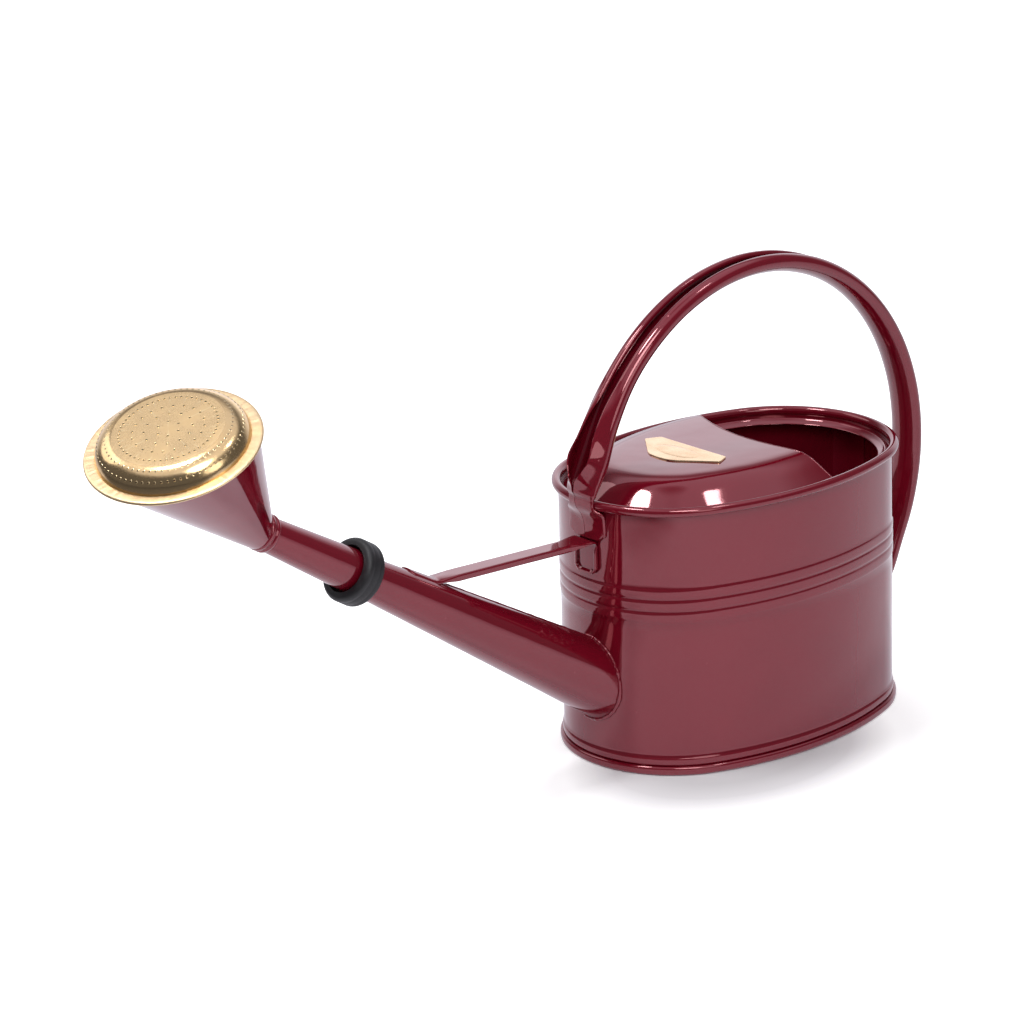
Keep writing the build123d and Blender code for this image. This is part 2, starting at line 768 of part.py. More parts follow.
def cone_loft(inset, loft_mode):
    """Oblique cone from the collar to the face, inset from its outer skin."""
    with BuildSketch(neck_plane) as neck:
        Circle(collar_bore + sheet - inset)
    with BuildSketch(face_plane.offset(-sheet)) as rim:
        Circle(cone_rim_radius - inset)
    loft([neck.sketch, rim.sketch], ruled=True, mode=loft_mode)


# Rose cone, with a narrow flange that the brass face is folded over
with BuildPart() as rose_cone:
    cone_loft(0, Mode.ADD)
    cone_loft(sheet, Mode.SUBTRACT)
    with BuildSketch(face_plane.offset(-sheet)):
        Circle(cone_flange_radius)
        Circle(cone_rim_radius - sheet, mode=Mode.SUBTRACT)
    extrude(amount=sheet)
write_part(rose_cone.part, "rose_cone")

# Brass face: a dome with a flat middle, rings of fine holes and a hem folded over the cone's flange
dome_height = dome_rise + face_sheet
dome_turn = degrees(2 * atan2(dome_rise, dome_shoulder))  # angle that the shoulder's arc turns through
dome_round = (dome_shoulder**2 + dome_rise**2) / (2 * dome_rise)
dome_center = (dome_flat_radius, dome_height - dome_round)
with BuildPart() as rose_face:
    with BuildSketch(face_section_plane):
        with BuildLine():
            outer_arc = CenterArc(dome_center, dome_round, 90 - dome_turn, dome_turn)
            inner_arc = CenterArc(dome_center, dome_round - face_sheet, 90 - dome_turn, dome_turn)
            Polyline(
                outer_arc @ 0,
                (face_radius, face_sheet),
                (face_radius, -hem_depth),
                (hem_inner, -hem_depth),
                (hem_inner, 0),
                ((inner_arc @ 0).X, 0),
                inner_arc @ 0,
            )
            Polyline(inner_arc @ 1, (0, dome_rise), (0, dome_height), outer_arc @ 1)
        make_face()
    revolve(axis=face_axis)
    with BuildSketch(face_plane.offset(dome_height)):
        for hole_circle, hole_count in zip(hole_circles, hole_counts):
            with PolarLocations(hole_circle, hole_count):
                Circle(hole_radius)
    extrude(amount=-dome_height, mode=Mode.SUBTRACT)
write_part(rose_face.part, "rose_face")
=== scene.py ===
from math import asin, atan2, cos, hypot, pi, radians, sin, sqrt, tan

import bmesh
import bpy
from mathutils import Matrix, Vector, noise


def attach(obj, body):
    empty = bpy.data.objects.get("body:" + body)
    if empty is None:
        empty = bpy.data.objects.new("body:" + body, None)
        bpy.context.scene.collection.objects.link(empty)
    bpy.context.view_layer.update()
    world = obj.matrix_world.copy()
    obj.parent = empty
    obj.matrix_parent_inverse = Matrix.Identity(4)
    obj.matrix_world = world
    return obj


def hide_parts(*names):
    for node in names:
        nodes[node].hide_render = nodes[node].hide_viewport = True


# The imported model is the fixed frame. Lengths below are in millimetres and go into meshes as metres.
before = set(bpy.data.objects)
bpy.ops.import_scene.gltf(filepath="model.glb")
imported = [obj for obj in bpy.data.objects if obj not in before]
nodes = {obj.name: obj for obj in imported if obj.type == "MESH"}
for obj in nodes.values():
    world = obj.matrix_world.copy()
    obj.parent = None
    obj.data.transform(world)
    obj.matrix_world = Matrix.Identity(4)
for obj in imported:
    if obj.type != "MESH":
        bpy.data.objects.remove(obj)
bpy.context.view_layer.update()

# Body wall
# One strip of thin steel sheet rolled into an oval and lapped at the rear, with three pressed ribs
# and a foot rib. Its top edge is rolled outwards over a wire, and all of it is enamelled burgundy.
sheet = 0.8
half_length = 115.5
half_width = 77.75
side_radius = 197.0
end_radius = (2 * side_radius * half_width - half_width**2 - half_length**2) / (
    2 * side_radius - 2 * half_length
)
end_middle = half_length - end_radius
side_middle = side_radius - half_width
end_turn = atan2(side_middle, end_middle)
end_arc = end_turn * end_radius
side_arc = (pi - 2 * end_turn) * side_radius
girth = 4 * end_arc + 2 * side_arc
rim_foot = 164.9
rim_middle = 167.0
rim_skin = 2.96
rim_offset = 0.85
wall_columns = 360
spout_root = Vector((half_length, 0, 56.1))
spout_slope = radians(32.2)
spout_along = Vector((cos(spout_slope), 0, sin(spout_slope)))
spout_up = Vector((-spout_along.z, 0, spout_along.x))
spout_side = Vector((0, 1, 0))
spout_length = 246.0
spout_thick = 22.2
spout_thin = 9.9


def spout_radius(reach):
    """Outer radius of the spout at a reach along its axis."""
    return spout_thick - (spout_thick - spout_thin) * reach / spout_length


def oval_at(share):
    """Point of the wall's plan at a share of the girth from the front, and the direction outwards."""
    run = (share % 1.0) * girth
    arcs = (
        (end_arc, end_middle, 0.0, end_radius, 0.0),
        (side_arc, 0.0, -side_middle, side_radius, end_turn),
        (2 * end_arc, -end_middle, 0.0, end_radius, pi - end_turn),
        (side_arc, 0.0, side_middle, side_radius, pi + end_turn),
        (end_arc, end_middle, 0.0, end_radius, 2 * pi - end_turn),
    )
    for length, x, y, radius, start in arcs:
        if run <= length:
            angle = start + run / radius
            return x + radius * cos(angle), y + radius * sin(angle), cos(angle), sin(angle)
        run -= length
    return half_length, 0.0, 1.0, 0.0


def depth_inside(x, y):
    """How far a plan point lies inside the wall's outer face."""
    if atan2(abs(y), abs(x) - end_middle) < end_turn:
        return end_radius - hypot(abs(x) - end_middle, y)
    return side_radius - hypot(x, abs(y) + side_middle)


def round_oval(profile, columns, shift=None):
    """Rows of points that carry a profile of (outwards, height) round the oval."""
    rows = []
    places = [oval_at(i / columns) for i in range(columns)]
    for outwards, height in profile:
        row = []
        for x, y, nx, ny in places:
            out = outwards + (shift(x, y, height, outwards) if shift else 0)
            row.append((x + nx * out, y + ny * out, height))
        rows.append(row)
    return rows


def plain_mesh(name, points, faces, sharp, mend=False):
    """Mesh object of points in metres, smooth but for edges sharper than an angle."""
    mesh = bpy.data.meshes.new(name)
    mesh.from_pydata(points, [], faces)
    if mend:
        work = bmesh.new()
        work.from_mesh(mesh)
        bmesh.ops.remove_doubles(work, verts=work.verts, dist=1e-6)
        bmesh.ops.recalc_face_normals(work, faces=work.faces)
        work.to_mesh(mesh)
        work.free()
    mesh.shade_smooth()
    mesh.set_sharp_from_angle(angle=radians(sharp))
    piece = bpy.data.objects.new(name, mesh)
    bpy.context.scene.collection.objects.link(piece)
    return piece


def skin(name, rows, close_rows=False, caps=False, sharp=50):
    """Mesh object through closed rows of points."""
    count = len(rows[0])
    points = [(x / 1000, y / 1000, z / 1000) for row in rows for x, y, z in row]
    faces = []
    for i in range(len(rows) - (0 if close_rows else 1)):
        upper = ((i + 1) % len(rows)) * count
        for j in range(count):
            k = (j + 1) % count
            faces.append((i * count + j, i * count + k, upper + k, upper + j))
    if caps:
        faces.append(tuple(range(count)))
        faces.append(tuple((len(rows) - 1) * count + j for j in range(count)))
    return plain_mesh(name, points, faces, sharp, mend=True)


def around(count):
    """Angles of equal steps round a circle."""
    return [2 * pi * i / count for i in range(count)]


def turned(middle, along, across, profile, columns, shift=None):
    """Rows of points that turn a profile of (reach, radius) about an axis."""
    side = along.cross(across)
    rows = []
    for reach, radius in profile:
        row = []
        for angle in around(columns):
            out = across * cos(angle) + side * sin(angle)
            point = middle + along * reach + out * radius
            if shift:
                point += shift(point, out, reach, radius, angle)
            row.append(tuple(point))
        rows.append(row)
    return rows


def cut_away(piece, cutter, sharp=50):
    """Take the cutter's room out of a piece, and remove the cutter."""
    cut = piece.modifiers.new("cut", "BOOLEAN")
    cut.operation = "DIFFERENCE"
    cut.solver = "EXACT"
    cut.object = cutter
    bpy.context.view_layer.update()
    view = bpy.context.evaluated_depsgraph_get()
    mesh = bpy.data.meshes.new_from_object(piece.evaluated_get(view))
    piece.modifiers.clear()
    piece.data = mesh
    mesh.set_sharp_from_angle(angle=radians(sharp))
    bpy.data.objects.remove(cutter)


def unevenness(x, y, z, size, seed):
    """Smooth unevenness from -1 to 1 with waves of a given size."""
    return noise.noise(Vector((x / size + seed, y / size - seed, z / size + 2 * seed)))


def smooth(low, high, value):
    """Smooth step from 0 at low to 1 at high."""
    share = min(1, max(0, (value - low) / (high - low)))
    return share * share * (3 - 2 * share)


def new_group(name, inputs):
    """Empty shader group of a finish with its sockets, and its two end nodes."""
    group = bpy.data.node_groups.new(name, "ShaderNodeTree")
    for label, kind, value in inputs:
        socket = group.interface.new_socket(label, in_out="INPUT", socket_type=kind)
        socket.default_value = value
    for label in ("Color", "Roughness", "Height"):
        kind = "NodeSocketColor" if label == "Color" else "NodeSocketFloat"
        group.interface.new_socket(label, in_out="OUTPUT", socket_type=kind)
    start = group.nodes.new("NodeGroupInput")
    end = group.nodes.new("NodeGroupOutput")
    return group, start, end


def put(tree, kind, **values):
    """New node with its settings, and its inputs by name or number: a value, or a socket to link."""
    node = tree.nodes.new(kind)
    for key, value in values.items():
        if key != "inputs":
            setattr(node, key, value)
    for key, value in values.get("inputs", {}).items():
        if isinstance(value, bpy.types.NodeSocket):
            tree.links.new(value, node.inputs[key])
        else:
            node.inputs[key].default_value = value
    return node


def maths(tree, operation, first, second=0.0, third=0.0, clamp=False):
    """Result of a math node."""
    inputs = {0: first, 1: second, 2: third}
    return put(tree, "ShaderNodeMath", operation=operation, use_clamp=clamp, inputs=inputs).outputs[0]


def waves(tree, coordinates, scale, detail=2.0, rough=0.5):
    """Value of a noise texture."""
    inputs = {"Vector": coordinates, "Scale": scale, "Detail": detail, "Roughness": rough}
    return put(tree, "ShaderNodeTexNoise", inputs=inputs).outputs["Fac"]


def blend(tree, share, first, second, mode="MIX"):
    """Colour of a mix node."""
    inputs = {0: share, 6: first, 7: second}
    return put(tree, "ShaderNodeMix", data_type="RGBA", blend_type=mode, inputs=inputs).outputs[2]


def ramp(tree, value, low, high, low_out=0.0, high_out=1.0):
    """Value stretched from one range to another, and held at its ends."""
    inputs = {0: value, 1: low, 2: high, 3: low_out, 4: high_out}
    return put(tree, "ShaderNodeMapRange", inputs=inputs).outputs[0]


def put_out(group, end, color, roughness, height):
    """Link the three results of a finish group."""
    for label, result in (("Color", color), ("Roughness", roughness), ("Height", height)):
        group.links.new(result, end.inputs[label])


# Baked enamel: colour drifts a little, pools deeper in creases and thins on edges. The skin has
# slow ripples, a fine orange peel and a few dust nibs that were caught while it was wet.
enamel_group, enamel_in, enamel_out = new_group(
    "enamel_skin",
    (
        ("Color", "NodeSocketColor", (0.2, 0.0035, 0.015, 1)),
        ("Ripple", "NodeSocketFloat", 1.0),
        ("Nibs", "NodeSocketFloat", 1.0),
        ("Gloss", "NodeSocketFloat", 0.06),
    ),
)
deep_red = (0.13, 0.002, 0.0095, 1)
pooled_red = (0.06, 0.001, 0.006, 1)
thin_red = (0.34, 0.02, 0.04, 1)
nib_red = (0.30, 0.03, 0.05, 1)
tree = enamel_group
place = put(tree, "ShaderNodeTexCoord").outputs["Object"]
drift = ramp(tree, waves(tree, place, 22.0, 3.0), 0.3, 0.7, 0.0, 0.22)
drifted = blend(tree, drift, enamel_in.outputs["Color"], deep_red)
edge = put(tree, "ShaderNodeNewGeometry").outputs["Pointiness"]
pooled = blend(tree, ramp(tree, edge, 0.5, 0.42, 0.0, 0.45), drifted, pooled_red)
thinned = blend(tree, ramp(tree, edge, 0.53, 0.62, 0.0, 0.30), pooled, thin_red)
cells = put(tree, "ShaderNodeTexVoronoi", inputs={"Vector": place, "Scale": 130.0, "Randomness": 1.0})
dot = ramp(tree, cells.outputs["Distance"], 0.04, 0.13, 1.0, 0.0)
pick = put(tree, "ShaderNodeSeparateColor", inputs={0: cells.outputs["Color"]}).outputs[0]
nib = maths(tree, "MULTIPLY", dot, ramp(tree, pick, 0.90, 0.93))
nib = maths(tree, "MULTIPLY", nib, enamel_in.outputs["Nibs"])
nibbed = blend(tree, maths(tree, "MULTIPLY", nib, 0.35), thinned, nib_red)
haze = ramp(tree, waves(tree, place, 35.0, 4.0, 0.6), 0.35, 0.75, 0.0, 0.035)
rough = maths(tree, "ADD", enamel_in.outputs["Gloss"], haze)
rough = maths(tree, "ADD", rough, maths(tree, "MULTIPLY", nib, 0.1))
slow = maths(tree, "MULTIPLY", waves(tree, place, 55.0, 1.0), enamel_in.outputs["Ripple"])
peel = maths(tree, "MULTIPLY", waves(tree, place, 620.0, 1.0), 0.012)
height = maths(tree, "ADD", maths(tree, "MULTIPLY", slow, 0.35), peel)
height = maths(tree, "ADD", height, maths(tree, "MULTIPLY", nib, 0.10))
put_out(tree, enamel_out, nibbed, rough, height)


def finish_material(name, group, values, depth, shader_values):
    """Material of a finish group and a shader, with its height as a bump of a depth in metres."""
    material = bpy.data.materials.new(name)
    material.use_nodes = True
    tree = material.node_tree
    tree.nodes.clear()
    look = tree.nodes.new("ShaderNodeGroup")
    look.node_tree = group
    for key, value in values.items():
        look.inputs[key].default_value = value
    bump_inputs = {"Strength": 1.0, "Distance": depth, "Height": look.outputs["Height"]}
    bump = put(tree, "ShaderNodeBump", inputs=bump_inputs)
    shader = put(tree, "ShaderNodeBsdfPrincipled", inputs=shader_values)
    tree.links.new(look.outputs["Color"], shader.inputs["Base Color"])
    tree.links.new(look.outputs["Roughness"], shader.inputs["Roughness"])
    tree.links.new(bump.outputs["Normal"], shader.inputs["Normal"])
    end = tree.nodes.new("ShaderNodeOutputMaterial")
    tree.links.new(shader.outputs[0], end.inputs["Surface"])
    return material


def enamel(name, ripple=1.0, nibs=1.0, gloss=0.05):
    """Burgundy enamel with its own amount of ripple and nibs."""
    values = {"Ripple": ripple, "Nibs": nibs, "Gloss": gloss}
    body = {"IOR": 1.52, "Specular IOR Level": 0.7, "Metallic": 0.3}
    coat = {"Coat Weight": 0.3, "Coat IOR": 1.5, "Coat Roughness": 0.04}
    return finish_material(name, enamel_group, values, 0.0004, body | coat)


def dress(piece, material, body, slot, *replaced):
    """Give a piece its material and its body, and hide the nodes it stands for; its slot is not used.
    """
    piece.data.materials.clear()
    piece.data.materials.append(material)
    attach(piece, body)
    if replaced:
        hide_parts(*replaced)


# Height, width and rise of each rib
ribs = ((115.4, 7.0, 0.55), (108.0, 7.0, 0.55), (100.6, 7.0, 0.5), (8.3, 5.6, 0.9))


def rib_rise(height):
    """How far the ribs stand out at a height."""
    for middle, width, depth in ribs:
        share = (height - middle) / (width / 2)
        if abs(share) < 1:
            return depth * (1 - share**4)
    return 0.0


wall_heights = [1.6, 3.0, 4.6]
wall_heights += [5.5 + 0.56 * i for i in range(11)]
wall_heights += [13.5 + 5.2 * i for i in range(16)]
wall_heights += [97.1 + 7.4 / 13 * i for i in range(40)]
wall_heights += [121.5 + 5.2 * i for i in range(9)]


def wall_dents(x, y, z, out):
    """Slight waves in the rolled sheet, livelier near the front where the spout was welded on."""
    if out > 2 or z > rim_foot - 1.4:
        return 0.0
    front = smooth(60, 112, x)
    lively = 0.10 * unevenness(x, y, z, 17, 7.7) + 0.05 * unevenness(x, y, z, 7, 5.1)
    return 0.16 * unevenness(x, y, z, 62, 3.1) + front * lively - 0.05


wall_profile = [(rib_rise(z), z) for z in wall_heights]
wall_profile += [(0.0, rim_foot), (0.45, rim_foot)]
wall_profile += [
    (rim_offset + rim_skin * cos(radians(a)), rim_middle + rim_skin * sin(radians(a)))
    for a in range(-95, 237, 10)
]
wall_profile += [(rib_rise(z) - sheet, z) for z in reversed(wall_heights)]
wall_rows = round_oval(wall_profile, wall_columns, wall_dents)
body_wall = skin("body_wall_enamel", wall_rows, close_rows=True, sharp=75)
spout_way = [(reach, spout_radius(reach) - sheet) for reach in (-40, -20, 0, 20, 40)]
spout_hole = skin("spout_hole", turned(spout_root, spout_along, spout_up, spout_way, 96), caps=True)
cut_away(body_wall, spout_hole, 75)
wall_enamel = enamel("wall_enamel", ripple=1.0)
dress(body_wall, wall_enamel, "can", "enamel", "body_wall")

# Lap of the wall's seam, inside at the rear
# The strip's two ends overlap and are soldered, which leaves a low step inside the can.
lap_start = 0.4905
lap_rises = ((0.0, 0.0), (0.0004, 0.9), (0.004, 0.85), (0.012, 0.6))
lap_rises += ((0.022, 0.35), (0.032, 0.15), (0.042, 0.0))
lap_step = 0.7
lap_rows = []
for height in (8, 40, 80, 120, 161):
    row = []
    for further, rise in lap_rises:
        x, y, nx, ny = oval_at(lap_start + further)
        depth = sheet + lap_step * rise - wall_dents(x, y, height, 0)
        row.append((x - nx * depth, y - ny * depth, height))
    for further, rise in reversed(lap_rises):
        x, y, nx, ny = oval_at(lap_start + further)
        row.append((x - nx * sheet / 2, y - ny * sheet / 2, height))
    lap_rows.append(row)
wall_lap = skin("wall_lap", lap_rows, caps=True, sharp=40)
dress(wall_lap, wall_enamel, "can", "enamel")

# Rim wire
# Drawn steel wire inside the rolled rim, out of sight.
wire_group, wire_in, wire_out = new_group(
    "drawn_steel",
    (("Color", "NodeSocketColor", (0.5, 0.5, 0.51, 1)),),
)
tree = wire_group
place = put(tree, "ShaderNodeTexCoord").outputs["Object"]
draw = waves(tree, place, 800.0, 3.0)
drawn = blend(tree, draw, wire_in.outputs["Color"], (0.3, 0.3, 0.31, 1))
put_out(tree, wire_out, drawn, ramp(tree, draw, 0.3, 0.7, 0.25, 0.4), draw)
wire_steel = finish_material("rim_wire_steel", wire_group, {}, 0.00005, {"Metallic": 1.0})
nodes["rim_wire"].data.materials.clear()
nodes["rim_wire"].data.materials.append(wire_steel)

# Base plate
# Oval steel bottom, set up inside the wall. Its edge is folded over the wall's lower edge
# into a round seam that the can stands on, and it is enamelled with the rest.
seam_out = 0.7
seam_round = 1.8
seam_top = 3.7
base_profile = [(-2.5, 6.0), (-2.5, 0.5), (-2.0, 0.0), (seam_out, 0.0)]
for angle in (radians(a) for a in range(15, 91, 15)):
    base_profile.append((seam_out + seam_round * sin(angle), seam_round - seam_round * cos(angle)))
for angle in (radians(a) for a in range(0, 91, 15)):
    base_profile.append((seam_out + seam_round * cos(angle), seam_top + seam_round * sin(angle)))
base_profile += [(0.1, 5.3), (0.1, 1.5), (-0.9, 1.5), (-0.9, 6.8)]
base_plate = skin("base_plate_enamel", round_oval(base_profile, wall_columns), caps=True, sharp=60)
dress(base_plate, enamel("base_enamel", ripple=0.6), "can", "enamel", "base_plate")

# Hood
# Pressed steel cover over the front of the filling mouth: a steep rounded skirt and a slightly
# domed crown. It is soldered inside the rim, and its rear edge is turned under.
cover_height = 162.5
crown_height = 181.1
hood_foot = 2.25
skirt_slope = 41.0
mouth_middle = Vector((-138.0, 12.0))
mouth_radius = 130.0
hood_step = 0.25
hood_reach = 80
hood_sink = 0.12
shoulder_half = 10.5
crown_slope = 3.0
crown_fade = 30


def hood_table(shoulder):
    """Heights of the hood's top at steps inwards from the wall, for a place of its shoulder."""
    heights = []
    height = cover_height
    for i in range(int(hood_reach / hood_step)):
        inwards = i * hood_step
        steep = smooth(hood_foot - 0.6, hood_foot + 0.9, inwards)
        level = smooth(shoulder - shoulder_half, shoulder + shoulder_half, inwards)
        crown = crown_slope * max(0, 1 - max(0, inwards - shoulder) / crown_fade)
        slope = steep * (skirt_slope * (1 - level) + crown * level)
        height += hood_step * tan(radians(slope))
        heights.append(height)
    return heights


def home_in(low, high, short_of):
    """Value between two at which a test stops being true, found by halving."""
    for _ in range(40):
        middle = (low + high) / 2
        if short_of(middle):
            low = middle
        else:
            high = middle
    return high


hood_heights = hood_table(home_in(10.0, 40.0, lambda place: hood_table(place)[-1] <= crown_height))


def hood_top(x, y):
    """Height of the hood's upper side over a plan point."""
    place = min(max(depth_inside(x, y), 0) / hood_step, len(hood_heights) - 1.001)
    low = int(place)
    return hood_heights[low] + (hood_heights[low + 1] - hood_heights[low]) * (place - low)


hood_columns = 240
hood_inwards = [1.0, 1.4, 1.8, 2.1, 2.4, 2.7, 3.0, 3.4, 4.0] + [5.0 + 1.25 * i for i in range(46)]
hood_plan = []
for inwards in hood_inwards:
    row = []
    for i in range(hood_columns):
        x, y, nx, ny = oval_at(i / hood_columns)
        row.append((x - nx * inwards, y - ny * inwards))
    hood_plan.append(row)
last = hood_plan[-1]
for share in (0.7, 0.4, 0.12, 0.0):
    hood_plan.append([(x * (0.3 + 0.7 * share), y * share) for x, y in last])


def hood_row(row, lift):
    """Ring of the hood's sheet, lifted off its upper side and a little uneven from the press."""
    ring = []
    for x, y in row:
        press = 0.10 * unevenness(x, y, 0, 40, 5.2) + 0.03 * unevenness(x, y, 0, 9, 1.2)
        ring.append((x, y, hood_top(x, y) + lift + press))
    return ring


hood_rows = [hood_row(row, -hood_sink) for row in reversed(hood_plan)]
hood_rows += [hood_row(row, -hood_sink - sheet) for row in hood_plan]
hood = skin("hood_enamel", hood_rows, sharp=60)
mouth_walls = [(100, mouth_radius), (220, mouth_radius)]
upright, forwards = Vector((0, 0, 1)), Vector((1, 0, 0))
mouth_rows = turned(mouth_middle.to_3d(), upright, forwards, mouth_walls, 720)
cut_away(hood, skin("mouth_cutter", mouth_rows, caps=True), 60)
hood_enamel = enamel("hood_enamel", ripple=0.8)
dress(hood, hood_enamel, "can", "enamel", "hood")

# Hem of the hood's rear edge
# The sheet is turned under along the filling mouth, which gives a smooth, slightly raised lip.
hem_radius = 0.62
hem_drop = 0.52
hem_from = -38.4
hem_turn = 65.4
hem_steps = 160
hem_rows = []
for i in range(hem_steps + 1):
    angle = radians(hem_from + hem_turn * i / hem_steps)
    x = mouth_middle.x + (mouth_radius - 0.05) * cos(angle)
    y = mouth_middle.y + (mouth_radius - 0.05) * sin(angle)
    back = Vector((-cos(angle), -sin(angle), 0))
    middle = Vector((x, y, hood_top(x + 0.4, y) - hem_drop))
    ring = [back * cos(a) + upright * sin(a) for a in around(12)]
    hem_rows.append([tuple(middle + way * hem_radius) for way in ring])
hood_hem = skin("hood_hem", hem_rows, caps=True)
dress(hood_hem, hood_enamel, "can", "enamel")

# Mouth ledge
# Stepped strip round the filling mouth behind the hood, pressed with a round ridge and
# turned down at its inner edge, soldered to the wall under the rim.
ledge_profile = [(-0.9, 162.5), (-2.2, 162.5), (-3.0, 162.6), (-3.5, 163.05), (-4.0, 163.5)]
ledge_profile += [(-4.5, 163.65), (-5.0, 163.5), (-5.4, 163.05), (-5.9, 162.55), (-6.8, 162.1)]
ledge_profile += [(-7.8, 161.7), (-8.6, 161.4), (-9.1, 161.2), (-9.3, 160.9), (-9.1, 160.7)]
ledge_profile += [(-8.4, 160.75), (-6.6, 161.3), (-5.7, 161.75), (-4.5, 162.7), (-3.3, 161.8)]
ledge_profile += [(-2.2, 161.7), (-0.9, 161.7)]


def ledge_end(outwards, low, high):
    """Share of the girth at which the ledge runs under the hood's rear edge, between two shares."""

    def under_hood(share):
        x, y, nx, ny = oval_at(share)
        spot = Vector((x + nx * outwards, y + ny * outwards))
        return (spot - mouth_middle).length > mouth_radius - 0.15

    return home_in(low, high, under_hood)


ledge_steps = 160
ledge_rows = []
for outwards, height in ledge_profile:
    left = ledge_end(outwards, 0.15, 0.5)
    right = ledge_end(outwards, 0.85, 0.5)
    row = []
    for i in range(ledge_steps + 1):
        x, y, nx, ny = oval_at(left + (right - left) * i / ledge_steps)
        row.append((x + nx * outwards, y + ny * outwards, height))
    ledge_rows.append(row)
ledge_rows = [list(column) for column in zip(*ledge_rows)]
mouth_ledge = skin("mouth_ledge_enamel", ledge_rows, caps=True, sharp=60)
dress(mouth_ledge, enamel("ledge_enamel", ripple=0.5), "can", "enamel", "mouth_ledge")

# Brass plate on the hood
# Shield-shaped plate of thin brass with a bevelled edge and a faint pressed oval, left bare.
# It lies flat on the crown and is soldered on.
brass_group, brass_in, brass_out = new_group(
    "brass_skin",
    (
        ("Color", "NodeSocketColor", (0.80, 0.58, 0.27, 1)),
        ("Tarnish", "NodeSocketColor", (0.52, 0.36, 0.15, 1)),
        ("Tarnish Share", "NodeSocketFloat", 0.35),
        ("Gloss", "NodeSocketFloat", 0.2),
        ("Crinkle", "NodeSocketFloat", 0.3),
    ),
)
tree = brass_group
place = put(tree, "ShaderNodeTexCoord").outputs["Object"]
cloud = waves(tree, place, 60.0, 4.0, 0.6)
grain = waves(tree, place, 900.0, 2.0)
tarnish = maths(tree, "MULTIPLY", ramp(tree, cloud, 0.38, 0.68), brass_in.outputs["Tarnish Share"])
toned = blend(tree, tarnish, brass_in.outputs["Color"], brass_in.outputs["Tarnish"])
edge = put(tree, "ShaderNodeNewGeometry").outputs["Pointiness"]
toned = blend(tree, ramp(tree, edge, 0.49, 0.42, 0.0, 0.6), toned, brass_in.outputs["Tarnish"])
rubbed_brass = (0.92, 0.76, 0.46, 1)
rubbed = blend(tree, ramp(tree, edge, 0.53, 0.62, 0.0, 0.5), toned, rubbed_brass)
cloudy = ramp(tree, cloud, 0.3, 0.7, 0.0, 0.12)
rough = maths(tree, "ADD", cloudy, ramp(tree, grain, 0.3, 0.7, 0.0, 0.06))
rough = maths(tree, "ADD", brass_in.outputs["Gloss"], rough)
crease = maths(tree, "MULTIPLY", waves(tree, place, 210.0, 2.0, 0.6), brass_in.outputs["Crinkle"])
height = maths(tree, "ADD", crease, maths(tree, "MULTIPLY", grain, 0.05))
put_out(tree, brass_out, rubbed, rough, height)


def brass(name, tone, tarnish, tarnish_share, gloss, crinkle, depth):
    """Brass of one tone, with its own tarnish and gloss and with crinkles of a depth in metres."""
    values = {"Color": tone + (1,), "Tarnish": tarnish + (1,), "Tarnish Share": tarnish_share}
    values |= {"Gloss": gloss, "Crinkle": crinkle}
    return finish_material(name, brass_group, values, depth, {"Metallic": 1.0})


plate_corners = (
    (27.8, 29.0), (37.2, 33.4), (54.0, 12.5), (56.4, 7.6), (57.2, 0.0),
    (56.4, -7.6), (54.0, -12.5), (37.2, -33.4), (27.8, -29.0),
)
corner_ease = 1.4
plate_outline = []
for i, corner in enumerate(plate_corners):
    before = Vector(plate_corners[i - 1])
    here = Vector(corner)
    after = Vector(plate_corners[(i + 1) % len(plate_corners)])
    ease = min(corner_ease, (before - here).length / 3, (after - here).length / 3)
    first = here + (before - here).normalized() * ease
    second = here + (after - here).normalized() * ease
    for k in range(6):
        t = k / 5
        plate_outline.append(first * (1 - t) ** 2 + here * 2 * t * (1 - t) + second * t**2)
    follow = after + (here - after).normalized() * min(corner_ease, (here - after).length / 3)
    plate_outline += [second + (follow - second) * k / 10 for k in range(1, 10)]
plate_middle = Vector((41.5, 0.0))
plate_seat = hood_top(*plate_middle) - hood_sink
plate_top = 0.8
oval_half = (8.0, 18.5)


def plate_row(inset, lift, oval=0.0):
    """Ring of the plate, drawn in from its outline and lifted off the crown."""
    row = []
    for point in plate_outline:
        away = point - plate_middle
        spot = point - away.normalized() * inset
        angle = atan2(away.y / 1.9, away.x)
        rounded = plate_middle + Vector((oval_half[0] * cos(angle), oval_half[1] * sin(angle)))
        spot = spot * (1 - oval) + rounded * oval
        row.append((spot.x, spot.y, plate_seat + lift))
    return row


plate_edge = ((0, -0.5), (0, 0.6), (0.1, 0.75), (0.3, plate_top), (1.2, plate_top))
plate_rows = [plate_row(inset, lift) for inset, lift in plate_edge]
plate_rows += [plate_row(2.5, plate_top, 0.5), plate_row(2.5, plate_top, 0.97)]
for shrink, sink in ((0.0, 0), (0.015, 0.04), (0.03, 0.04), (0.045, 0), (0.4, 0), (0.8, 0)):
    row = plate_row(2.5, plate_top - sink, 1.0)
    drawn_in = plate_middle.x * shrink
    plate_rows.append([(drawn_in + x * (1 - shrink), y * (1 - shrink), z) for x, y, z in row])
name_plate = skin("plate_brass", plate_rows, caps=True, sharp=40)
plate_brass = brass("plate_brass", (0.94, 0.67, 0.41), (0.88, 0.56, 0.29), 0.5, 0.16, 0.1, 0.00008)
dress(name_plate, plate_brass, "can", "brass", "name_plate")

# Handle
# Steel strip rolled into a hoop that is open along its outer side, with both lips curled in. It
# opens wide near its ends, which are squashed flat, bent to the body and spot welded.
hoop_x = -20.6
hoop_z = 149.0
hoop_radius = 137.3
front_angle = 24.8
rear_angle = 207.0


def hoop_at(angle):
    """Point of the hoop's middle line, seen from the side."""
    turn = radians(angle)
    return Vector((hoop_x + hoop_radius * cos(turn), hoop_z + hoop_radius * sin(turn)))


